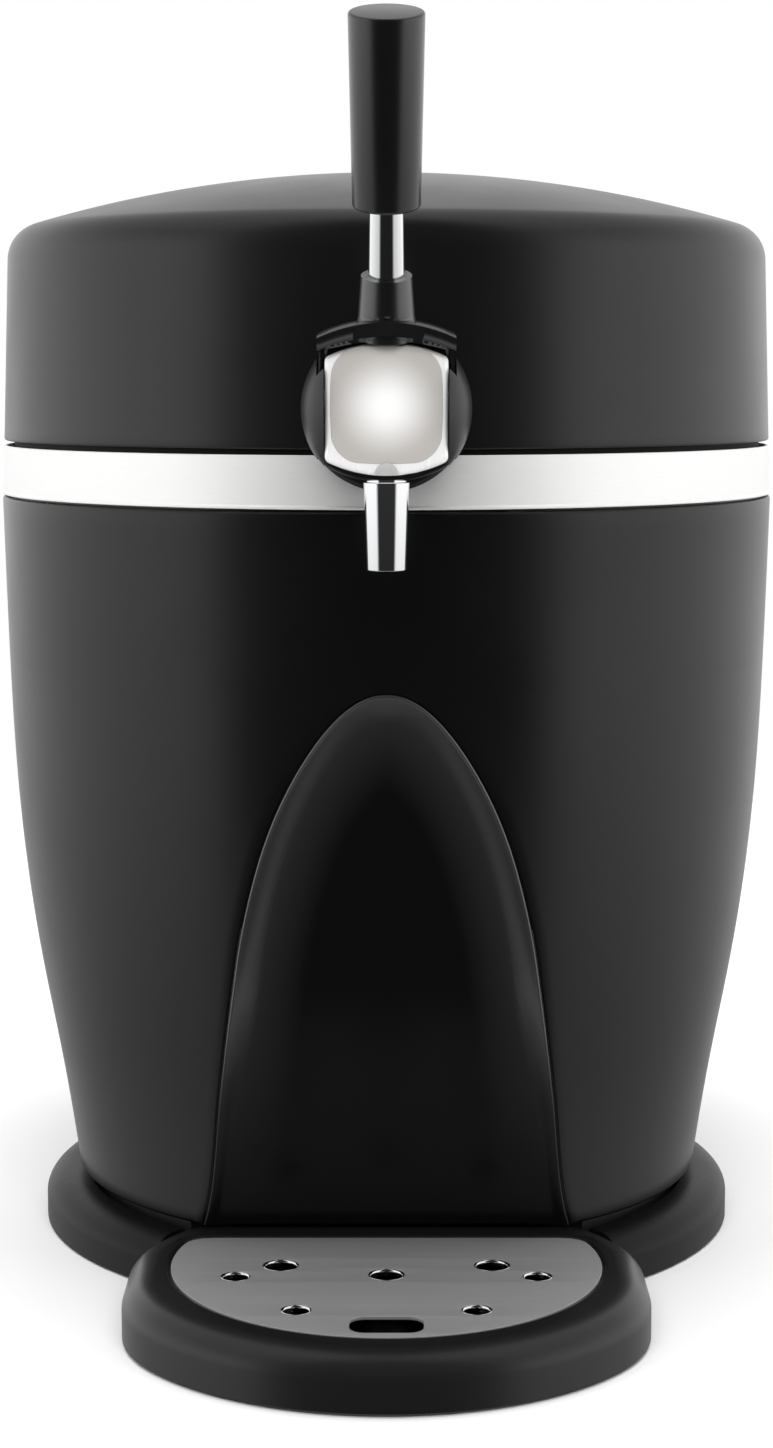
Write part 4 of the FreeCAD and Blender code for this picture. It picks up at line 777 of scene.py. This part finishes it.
def insidePlate(x, y, grow):
    # signed distance to the plate's outline, a disc cut straight at the back with round corners
    corner = plate["corner"] + max(grow, -4.0)
    a = math.hypot(x, y + plate["centre"]) - (plate["radius"] + grow - corner)
    b = y + plate["back"] - grow + corner
    return math.hypot(max(a, 0), max(b, 0)) + min(max(a, b), 0) - corner


def plateLoop(grow, guide):
    # points of the plate's outline on rays through the guide points
    hub = Vector((0, -142.0))
    loop = []
    for target in guide:
        way = (target - hub).normalized()
        low, high = 0.0, 120.0
        for _ in range(36):
            middle = (low + high) / 2
            spot = hub + way * middle
            if insidePlate(spot.x, spot.y, grow) < 0:
                low = middle
            else:
                high = middle
        loop.append(hub + way * low)
    return loop


def makeTray():
    guide = trayOutline(0.0)
    top, edge, bend = tray["top"], tray["edge"], tray["basinBend"]
    gap, ledge, lip = plate["gap"], -plate["ledge"], tray["lip"]
    seat = plate["top"] - plate["thickness"]
    floor = tray["basinFloor"]

    def underside(loop, lift=0.0):
        # the tray stands on the table in front and rests on the pan behind
        heights = [tray["foot"] if p.length > tray["baseReach"] else tray["restHeight"] for p in loop]
        return [(p.x, p.y, z + lift) for p, z in zip(loop, heights)]

    rows = [underside(trayOutline(-3.0)), underside(trayOutline(-0.5)), underside(guide, 0.5),
            atHeight(guide, 4.0), atHeight(guide, 7.5)]
    for sine, cosine in quarter(16):
        rows.append(atHeight(trayOutline(-tray["shoulder"] * (1 - cosine)), top - edge + edge * sine))
    for sine, cosine in quarter(6):
        rows.append(atHeight(plateLoop(gap + lip * (1 - sine), guide), top - tray["dip"] - lip * (1 - cosine)))
    for grow, z in ((gap, seat), (ledge, seat), (ledge, floor + bend)):
        rows.append(atHeight(plateLoop(grow, guide), z))
    for sine, cosine in quarter(4, 1):
        rows.append(atHeight(plateLoop(ledge - bend * (1 - cosine), guide), floor + bend * (1 - sine)))
    rows.insert(0, [(x, y, tray["restHeight"]) for x, y, _ in rows[0]])
    mesh = gridMesh("dripTray", rows, closedAcross=True, capStart=True, capEnd=True)
    finishPiece(mesh, "dripTray", "drip_tray", trayAbs, ["drip_tray"], angle=40)


def flatCurve(name, loops, halfThickness, edge):
    # closed outlines filled as one flat curve, holes and all, with a rounded edge
    curve = bpy.data.curves.new(name, "CURVE")
    curve.dimensions = "2D"
    curve.fill_mode = "BOTH"
    for loop in loops:
        spline = curve.splines.new("POLY")
        spline.points.add(len(loop) - 1)
        for point, (x, y) in zip(spline.points, loop):
            point.co = (x * mm, y * mm, 0.0, 1.0)
        spline.use_cyclic_u = True
    curve.extrude = (halfThickness - edge) * mm
    curve.bevel_depth = edge * mm
    curve.bevel_resolution = 3
    curve.offset = -edge * mm
    return bakedMesh(placed(name, curve), name)


def circle(x, y, radius, count=40):
    turns = [2 * math.pi * k / count for k in range(count)]
    return [(x + radius * math.cos(turn), y + radius * math.sin(turn)) for turn in turns]


def makePlate():
    top, thickness, lip = plate["top"], plate["thickness"], plate["lip"]
    holes = [*plate["holes"], *((-x, y, radius) for x, y, radius in plate["holes"]), plate["middleHole"]]
    loops = [[(p.x, p.y) for p in plateLoop(0.0, trayOutline(0.0))]]
    loops += [circle(x, -y, radius + lip) for x, y, radius in holes]
    half, near, far, corner = plate["slot"]
    loops.append(softened([(half, -near, corner), (-half, -near, corner), (-half, -far, corner), (half, -far, corner)],
                          steps=8))
    mesh = flatCurve("dripPlate", loops, thickness / 2, plate["edge"])
    mesh.transform(Matrix.Translation((0, 0, (top - thickness / 2) * mm)))
    finishPiece(mesh, "dripPlate", "drip_plate", plateSteel, ["drip_plate"], angle=50)
    # each hole has a drawn lip that turns down into the basin
    drawn, wall = plate["lipDepth"], plate["lipWall"]
    rings = []
    for x, y, radius in holes:
        profile = [(radius + lip, top - 0.25)]
        profile += [(radius + lip * (1 - sine), top - 0.02 - lip * (1 - cosine)) for sine, cosine in quarter(6, 1)]
        profile += [(radius, top - drawn), (radius + wall, top - drawn), (radius + lip, top - thickness + 0.1)]
        rings.append(turnedMesh("lip", profile, 40, Matrix.Translation((x * mm, -y * mm, 0))))
    finishPiece(joinedMesh("drainLips", rings), "drainLips", "drip_plate", chrome, angle=50)


makeTray()
makePlate()
print("tray and plate made")


# tap

tap = {
    "z": 300.4,
    "y": -172.0,
    "lean": 19.0,
    "collarY": -140.3,
    "faceY": -186.0,
    "backY": -178.6,
    "half": 18.5,
    "high": 19.8,
    "corner": 15.4,
    "cornerRound": 2.1,
    "wall": 1.6,
    "rim": 2.2,
    "notch": 5.5,
    "badgeNotch": 5.6,
    "badgeHalf": 15.9,
    "badgeHigh": 16.6,
    "badgeRise": 1.3,
    "badgeRound": 7.5,
    "badgeBow": 0.9,
    # radius out to which the badge's painted highlight fades
    "badgeHighlightRim": 17.5,
    "bossRadius": 3.7,
    "ballRadius": 26.0,
    "capStart": 21.0,
    "cheekStart": 18.75,
    "eyeClear": 5.4,
    "swing": 35.0,
    "armFront": 3.6,
}
fork = {
    "half": 20.65,
    # forward and up from the pivot, and the radius each edge is bowed to
    "lip": ((9.0, 24.0, 53.64), (18.4, 21.4, 53.64), (18.4, 25.6, 48.39), (17.7, 26.3, 48.39), (4.6, 26.9, 48.39),
            (4.6, 25.6, 48.39)),
    # blocks cut away, as ranges across, forward and up: room for the lip, then narrow arms and flush sides
    "lipRoom": (-21, 21, 17.9, 30, 12, 26.2),
    "sideTrims": ((17.5, 23, 3.6, 24, -14, 18.4), (20.65, 23, -20, 24, -14, 40)),
}
pivot = (0, tap["y"], tap["z"])
leverWay = (0, -math.sin(math.radians(tap["lean"])), math.cos(math.radians(tap["lean"])))


def makeTurned(name, body, material, node, profile, sides, place, angle=35):
    finishPiece(turnedMesh(name, softened(profile), sides, place), name, body, material, [node], angle)


def makeLeverAndSpout():
    makeTurned("leverGrip", "tap_lever", gripPlastic, "lever_handle",
               [(0.0, 119.3, 0), (11.1, 119.3, 0.9), (10.1, 62.7, 0.9), (5.15, 62.7, 0), (5.15, 66.0, 0),
                (0.0, 66.0, 0)],
               72, pointing(pivot, leverWay))
    makeTurned("leverShaft", "tap_lever", chrome, "lever_rod",
               [(0.0, 30.0, 0), (5.45, 30.0, 0), (5.45, 41.8, 0), (5.1, 62.8, 0), (5.05, 65.9, 0), (0.0, 65.9, 0)],
               64, pointing(pivot, leverWay))
    makeTurned("spoutTube", "dispenser", chrome, "spout",
               [(4.5, 251.4, 0.2), (6.1, 251.4, 0.35), (7.0, 278.1, 0), (6.0, 278.3, 0), (6.0, 287.7, 0),
                (4.5, 287.7, 0)],
               64, Matrix.Translation((0, tap["y"] * mm, 0)))


def capMesh(side):
    # a bearing cap over the end of the fork's pin: part of a ball in front, straight back to the collar
    radius, inside = tap["ballRadius"], tap["capStart"]
    reach = math.sqrt(radius ** 2 - inside ** 2)
    rows = []
    for depth in [27.0, 0.0] + [-reach * sine for sine, _ in quarter(12, 1)[:-1]]:
        here = radius if depth > 0 else math.sqrt(radius ** 2 - depth ** 2)
        half = math.acos(inside / here)
        turns = [half * (2 * k / 24 - 1) for k in range(25)]
        rows.append([(side * here * math.cos(turn), tap["y"] + depth, tap["z"] + here * math.sin(turn))
                     for turn in turns])
    rows.append([(side * inside, tap["y"] - reach, tap["z"])] * 25)
    return gridMesh("cap", rows, closedAcross=True, capStart=True)


def cheekMesh(side):
    # the same ball carried inwards in front of the fork's eye, below where the fork swings
    radius, inside, clear = tap["ballRadius"], tap["cheekStart"], tap["eyeClear"]
    reach = math.sqrt(radius ** 2 - inside ** 2)
    swing = math.radians(tap["swing"])
    rows = []
    for sine, _ in quarter(14):
        depth = clear + (reach - 0.02 - clear) * sine
        here = math.sqrt(radius ** 2 - depth ** 2)
        low = -math.acos(min(1.0, inside / here))
        ceiling = (depth * math.cos(swing) - tap["armFront"] - 0.35) / math.sin(swing)
        high = min(-low, math.asin(max(-0.9, min(1.0, ceiling / here))))
        turns = [low + (high - low) * c / 20 for c in range(21)]
        row = [(side * here * math.cos(turn), tap["y"] - depth, tap["z"] + here * math.sin(turn)) for turn in turns]
        rows.append(row + [(side * inside, tap["y"] - depth, tap["z"] + here * math.sin(high))])
    return gridMesh("cheek", rows, closedAcross=True, capStart=True, capEnd=True)


def makeCollar():
    profile = softened([(10.1, -8.7, 0), (14.5, -8.7, 0.6), (17.5, -7.6, 2.0), (25.3, -4.8, 1.2), (26.5, -3.4, 0.8),
                        (26.5, -1.6, 0.8), (24.8, 0.0, 0.4), (10.1, 0.0, 0)])
    parts = [turnedMesh("collar", profile, 96, pointing((0, tap["collarY"], tap["z"]), (0, 1, 0)))]
    for side in (1, -1):
        parts += [capMesh(side), cheekMesh(side)]
    finishPiece(joinedMesh("tapCollar", parts), "tapCollar", "dispenser", tapAbs, ["tap_collar"],
                angle=45)


def bowedLoop(half, corner, high, y, steps=16):
    # four sided outline with straight sides and bowed top and bottom, clockwise from the top left
    bow = high - corner
    radius = (half ** 2 + bow ** 2) / (2 * bow)
    loop = []
    for sign in (1, -1):
        for k in range(steps + 1):
            x = sign * half * (2 * k / steps - 1)
            loop.append((x, tap["z"] + sign * (high - radius + math.sqrt(radius ** 2 - x ** 2))))
        loop += [(sign * half, tap["z"] + sign * corner * (1 - 2 * k / 8)) for k in range(1, 8)]
    corners = (0, steps, steps + 8, 2 * steps + 8)
    outline = softened([(x, z, tap["cornerRound"] if k in corners else 0) for k, (x, z) in enumerate(loop)], steps=4)
    return [(x, y, z) for x, z in outline]


def notched(name, mesh, radius):
    # the flattened round notch in the top edge, open to the front
    tool = turnedMesh("notch", [(0, -8), (radius, -8), (radius, 8), (0, 8)], 48)
    tool.transform(Matrix.Translation((0, tap["faceY"] * mm, (tap["z"] + tap["high"] - 0.2) * mm))
                   @ Matrix.Diagonal((1, 1, 0.5, 1)) @ Matrix.Rotation(math.pi / 2, 4, "X"))
    return booleanMesh(name, mesh, tool)


def makeTapFace():
    half, corner, high, wall, rim = tap["half"], tap["corner"], tap["high"], tap["wall"], tap["rim"]
    face, back = tap["faceY"], tap["backY"]

    def at(inset, y):
        return bowedLoop(half - inset, corner - inset, high - inset, y)

    rows = [at(wall, face + 1.6), at(wall, back), at(0.0, back), at(0.0, face + rim)]
    rows += [at(rim * 0.6 * (1 - cosine), face + rim * (1 - sine)) for sine, cosine in quarter(8, 1)]
    mesh = gridMesh("tapFace", rows, closedAcross=True, capStart=True, capEnd=True)
    mesh = notched("tapFace", mesh, tap["notch"])
    # the face rim's near-white colour is a painted reflection
    finishPiece(mesh, "tapFace", "dispenser", chromeFrameWhitePainted, ["tap_cover"], angle=38)

    # the small half round boss at the foot of the face
    rows = []
    outer = tap["bossRadius"]
    profile = [(0.0, 0.0), (outer, 0.0), (outer, 0.5)]
    profile += [(outer - 0.6 + 0.6 * math.cos(t), 0.5 + 0.5 * math.sin(t)) for t in (0.4, 0.8, 1.2)]
    profile += [(2.0, 1.1), (0.0, 1.25)]
    for k in range(25):
        turn = math.pi * k / 24
        rows.append([(r * math.cos(turn), face + 0.2 - h, tap["z"] - high + 0.25 + r * math.sin(turn))
                     for r, h in profile])
    mesh = gridMesh("faceBoss", rows, closedAcross=True, capStart=True, capEnd=True)
    finishPiece(mesh, "faceBoss", "dispenser", bossSilver, angle=30)


def badgeLoop(inset, y, shrink=1.0):
    # a bowed square with broad round corners
    half, high = tap["badgeHalf"] - inset, tap["badgeHigh"] - inset
    bow, size = tap["badgeBow"], tap["badgeRound"] - inset
    loop = []
    corners = ((1, 1), (-1, 1), (-1, -1), (1, -1))
    for start, (cx, cz) in enumerate(corners):
        nextX, nextZ = corners[(start + 1) % 4]
        for k in range(13):
            turn = math.radians(90 * start + 90 * k / 12)
            loop.append((cx * (half - size) + size * math.cos(turn), cz * (high - size) + size * math.sin(turn)))
        for k in range(1, 9):
            alongX, alongZ = cx + (nextX - cx) * k / 9, cz + (nextZ - cz) * k / 9
            loop.append((alongX * (half - size) + size * math.cos(turn),
                         alongZ * (high - size) + size * math.sin(turn)))
    out = []
    for x, z in loop:
        swellX = bow * max(0.0, 1 - (z / high) ** 2) * x / half
        swellZ = bow * max(0.0, 1 - (x / half) ** 2) * z / high
        out.append(((x + swellX) * shrink, y, tap["z"] + tap["badgeRise"] + (z + swellZ) * shrink))
    return out


def makeBadge():
    # a shallow lens of lacquered metal in a fine groove, cut to clear the notch above and the boss below
    face = tap["faceY"]
    rows = [badgeLoop(0.0, face + 0.5), badgeLoop(0.0, face - 0.05), badgeLoop(0.15, face - 0.2)]
    for inset, proud in ((1.5, 0.27), (4.0, 0.33), (8.0, 0.36)):
        rows.append(badgeLoop(0.15, face - proud, 1 - inset / 17))
    mesh = gridMesh("tapBadge", rows, closedAcross=True, capStart=True, capEnd=True)
    mesh = notched("tapBadge", mesh, tap["badgeNotch"])
    # the badge's white middle is a painted highlight
    pearl = pearlWithPaintedHighlight((0, face, tap["z"] + tap["badgeRise"]), tap["badgeHighlightRim"])
    finishPiece(mesh, "tapBadge", "dispenser", pearl, ["badge_plate"], angle=30)


def makeFork():
    # the fork with its upright front lip: a deep dark brow under the lever's socket
    rows = []
    for c in range(49):
        x = fork["half"] * (2 * c / 48 - 1)
        rows.append([(x, tap["y"] - forward, tap["z"] + up - (bow - math.sqrt(bow ** 2 - x ** 2)))
                     for forward, up, bow in fork["lip"]])
    lip = cleaned(gridMesh("lip", rows, closedAcross=True, capStart=True, capEnd=True), 0.004 * mm)
    mesh = cleaned(nodes["lever_yoke"].data.copy(), 0.004 * mm)
    trims = [fork["lipRoom"], *fork["sideTrims"], *((-x1, -x0, *rest) for x0, x1, *rest in fork["sideTrims"])]
    for x0, x1, f0, f1, u0, u1 in trims:
        middle = Vector(((x0 + x1) / 2, tap["y"] - (f0 + f1) / 2, tap["z"] + (u0 + u1) / 2))
        size = Matrix.Diagonal(((x1 - x0) * mm, (f1 - f0) * mm, (u1 - u0) * mm, 1))
        block = bmesh.new()
        bmesh.ops.create_cube(block, size=1.0, matrix=Matrix.Translation(middle * mm) @ size)
        mesh = booleanMesh("fork", mesh, meshOf(block, "trim"))
    mesh = booleanMesh("leverFork", mesh, lip, "UNION")
    finishPiece(mesh, "leverFork", "tap_lever", forkAbs, ["lever_yoke"])


makeLeverAndSpout()
makeCollar()
makeTapFace()
makeBadge()
makeFork()
print("tap made")


# screws

screws = {
    "grille": {"body": "dispenser", "node": "grille_screws", "radius": 3.0, "flat": 0.9, "way": (0, 1, 0),
               "spots": [(x, 192.5, z) for x in (-53.5, 53.5) for z in (86.5, 213.5)]},
    "hingeFoot": {"body": "dispenser", "node": "body_hinge_screws", "radius": 3.2, "flat": 1.0, "way": (0, 0, 1),
                  "spots": [(-20.0, 161.0, 264.5), (20.0, 161.0, 264.5)]},
    "base": {"body": "dispenser", "node": "base_screws", "radius": 3.8, "flat": 0.45, "way": (0, 0, -1),
             "spots": [(x * side, y, 2.0) for x, y in ((60.0, 160.0), (91.9, 22.0), (68.0, -65.6))
                       for side in (1, -1)]},
    "lidHinge": {"body": "lid", "node": "lid_hinge_screws", "radius": 3.2, "flat": 1.0, "way": (0, 1, 0),
                 "spots": [(x, 142.5, z) for x in (-19.0, 19.0) for z in (301.0, 311.0)]},
}
panHead = {
    "profile": [(0.0, -1.6, 0), (0.3, -1.6, 0), (0.46, -1.3, 0), (0.46, 0.0, 0), (1.0, 0.0, 0), (1.0, 0.3, 0.2),
                (0.62, 0.6, 0.3), (0.0, 0.64, 0)],
    "sides": 28,
    "arm": 0.55,
    "slot": 0.1,
    "recess": (0.27, 0.8),
}


def panHeadMesh():
    # a pan head of radius 1 with a cross recess, standing on its seat, its shank below
    profile = softened(panHead["profile"], steps=3)
    mesh = cleaned(turnedMesh("panHead", [(r / mm, h / mm) for r, h in profile], panHead["sides"]), 0.001)
    # the recess is one plus-shaped prism, a quarter of its outline turned three times
    arm, slot = panHead["arm"], panHead["slot"]
    loop = [(arm, -slot), (arm, slot), (slot, slot)]
    while len(loop) < 12:
        x, y = loop[-3]
        loop.append((-y, x))
    work = bmesh.new()
    low, high = ([work.verts.new((x, y, z)) for x, y in loop] for z in panHead["recess"])
    work.faces.new(low[::-1])
    work.faces.new(high)
    for k in range(12):
        work.faces.new((low[k - 1], low[k], high[k], high[k - 1]))
    return booleanMesh("panHead", mesh, meshOf(work, "cross"))


def screwTree(head):
    # one head on each point of the given mesh, turned the given way
    inputs = (("Head Radius", "Float"), ("Direction", "Vector"), ("Height Factor", "Float"))
    tree, given = nodeTree("setScrews", inputs)
    source = addNode(tree, "GeometryNodeObjectInfo", {"Object": head})
    turn = addNode(tree, "FunctionNodeAlignRotationToVector", {"Vector": given["Direction"]}, axis="Z")
    radius = given["Head Radius"]
    size = addNode(tree, "ShaderNodeCombineXYZ",
                   {0: radius, 1: radius, 2: mathNode(tree, "MULTIPLY", radius, given["Height Factor"])})
    heads = addNode(tree, "GeometryNodeInstanceOnPoints",
                    {"Points": given["Geometry"], "Instance": source.outputs["Geometry"],
                     "Rotation": turn.outputs[0], "Scale": size.outputs[0]})
    closeTree(tree, heads.outputs[0], screwSteel)
    return tree


def makeScrews():
    head = placed("panHeadMaster", panHeadMesh())
    tree = screwTree(head)
    for name, look in screws.items():
        points = [tuple(c * mm for c in spot) for spot in look["spots"]]
        mesh = runTree(tree, name + "Screws", points, [], {
            "Head Radius": look["radius"] * mm, "Direction": look["way"], "Height Factor": look["flat"]})
        finishPiece(mesh, name + "Screws", look["body"], screwSteel, [look["node"]], angle=40)
    bpy.data.objects.remove(head)


makeScrews()
print("screws set")


# finishes of the frame's own nodes

plainNodes = (
    (blackAbs, "lid_hinge_leaf body_hinge_leaf rear_housing"),
    (baseAbs, "base_ring"),
    (trayAbs, "rear_grille"),
    (tapAbs, "tap_body"),
    (innerPlastic, "base_pan top_deck lid_liner fan_frame fan_rotor mains_inlet low_voltage_inlet switch_frame"),
    (sealRubber, "foot_strip deck_seal rotor_seals"),
    (foam, "body_foam lid_foam"),
    (linerAluminium, "keg_liner cold_block heat_sink"),
    (screwSteel, "hinge_pin heat_sink_screws temperature_probe fan_screws board_screws tap_neck tap_nut hose_clamps"),
    (moduleCeramic, "cooling_module"),
    (boardResin, "power_board"),
    (switchPlastic, "switch_rocker"),
    (wireVinyl, "module_wires fan_wire"),
    (fittingPlastic, "tap_elbow valve_rotor keg_connector"),
    (hoseVinyl, "beer_line"),
)
for material, names in plainNodes:
    for name in names.split():
        for holder in nodes[name].material_slots:
            holder.link = "OBJECT"
            holder.material = material
print("nodes finished")


# floor, light and camera

studio = {
    "floorRadius": 0.8,
    "floorCentre": 0.25,
    "floorSides": 96,
    # where the room opens to the front, and how bright it is there and behind
    "opening": ((-0.76, -0.54), (0.03, 1.15)),
    # the room fades below the horizon, more so behind
    "skirting": ((0.0, 0.9), (0.4, 0.1)),
    "below": (-0.55, 0.0),
    "above": ((0.2, 0.7), (1.0, 0.5)),
    "overhead": ((0.35, 0.8), (0.0, 0.6)),
    "table": ((-0.95, -0.78), (0.55, 0.0)),
}
fills = {
    "frontFill": {"place": (0, -1.6, 1.2), "target": (0, 0, 0.2), "size": (1.6, 1.0), "power": 26},
    "topFill": {"place": (0, 0.2, 2.2), "target": (0, 0, 0.1), "size": (2.0, 2.0), "power": 38},
}
view = {"place": (0, -1.020, 0.3135), "tilt": 90 - 7.35, "sensor": 36.0, "lens": 2782 / 1448 * 36.0,
        "clip": (0.05, 50.0)}


def makeFloor():
    # a round table top, only as wide as the picture needs, so the barrel mirrors no floor in front of it
    count, radius = studio["floorSides"], studio["floorRadius"]
    mesh = bpy.data.meshes.new("floor")
    mesh.from_pydata([(x, y, 0) for x, y in circle(0.0, studio["floorCentre"], radius, count)], [],
                     [tuple(range(count))])
    floor = placed("floor", mesh)
    material, tree, _ = newMaterial("paintedStudioFloor")
    paint(tree, {"Color": hexColour("F7F7F7")}, "ShaderNodeBsdfDiffuse")
    mesh.materials.append(material)
    floor.visible_glossy = False


def makeWorld():
    # a white room, dark only where it opens to the front, so the middle of the barrel stays black
    world = bpy.data.worlds.new("studio")
    bpy.context.scene.world = world
    world.use_nodes = True
    tree = world.node_tree
    tree.nodes.clear()
    way = addNode(tree, "ShaderNodeTexCoord").outputs["Generated"]
    flat = addNode(tree, "ShaderNodeVectorMath", {0: way, 1: (1, 1, 0)}, operation="MULTIPLY").outputs[0]
    flat = addNode(tree, "ShaderNodeVectorMath", {0: flat}, operation="NORMALIZE").outputs[0]
    ahead = addNode(tree, "ShaderNodeSeparateXYZ", {0: flat}).outputs[1]
    height = addNode(tree, "ShaderNodeSeparateXYZ", {0: way}).outputs[2]
    front = ramp(tree, ahead, *studio["opening"], kind="SMOOTHSTEP")
    lower = ramp(tree, height, studio["below"], (ramp(tree, ahead, *studio["skirting"]), 1.0))
    walls = mathNode(tree, "MULTIPLY", lower, ramp(tree, height, *studio["above"]))
    room = mathNode(tree, "MAXIMUM", walls, ramp(tree, height, *studio["overhead"], kind="SMOOTHSTEP"))
    lit = mathNode(tree, "MAXIMUM", mathNode(tree, "MULTIPLY", front, room), ramp(tree, height, *studio["table"]))
    rays = addNode(tree, "ShaderNodeLightPath").outputs
    seen = mathNode(tree, "MAXIMUM", rays["Is Camera Ray"], rays["Is Transmission Ray"])
    strength = addNode(tree, "ShaderNodeMix", {0: seen, 2: lit, 3: 1.0}, data_type="FLOAT").outputs[0]
    background = addNode(tree, "ShaderNodeBackground", {"Color": (1, 1, 1, 1), "Strength": strength})
    addNode(tree, "ShaderNodeOutputWorld", {"Surface": background.outputs[0]})


def makeFills():
    # soft fills that light matt surfaces and leave no mirror patch
    for name, look in fills.items():
        lamp = bpy.data.lights.new(name, "AREA")
        lamp.shape = "RECTANGLE"
        lamp.size, lamp.size_y = look["size"]
        lamp.energy = look["power"]
        holder = placed(name, lamp)
        holder.location = look["place"]
        holder.rotation_euler = (Vector(look["target"]) - Vector(look["place"])).to_track_quat("-Z", "Y").to_euler()
        holder.visible_glossy = False


def makeCamera():
    data = bpy.data.cameras.new("camera")
    data.sensor_width = view["sensor"]
    data.lens = view["lens"]
    data.clip_start, data.clip_end = view["clip"]
    camera = placed("camera", data)
    camera.location = view["place"]
    camera.rotation_euler = (math.radians(view["tilt"]), 0, 0)
    bpy.context.scene.camera = camera


makeFloor()
makeWorld()
makeFills()
makeCamera()
bpy.context.scene.view_settings.view_transform = "Standard"
print("stage ready")
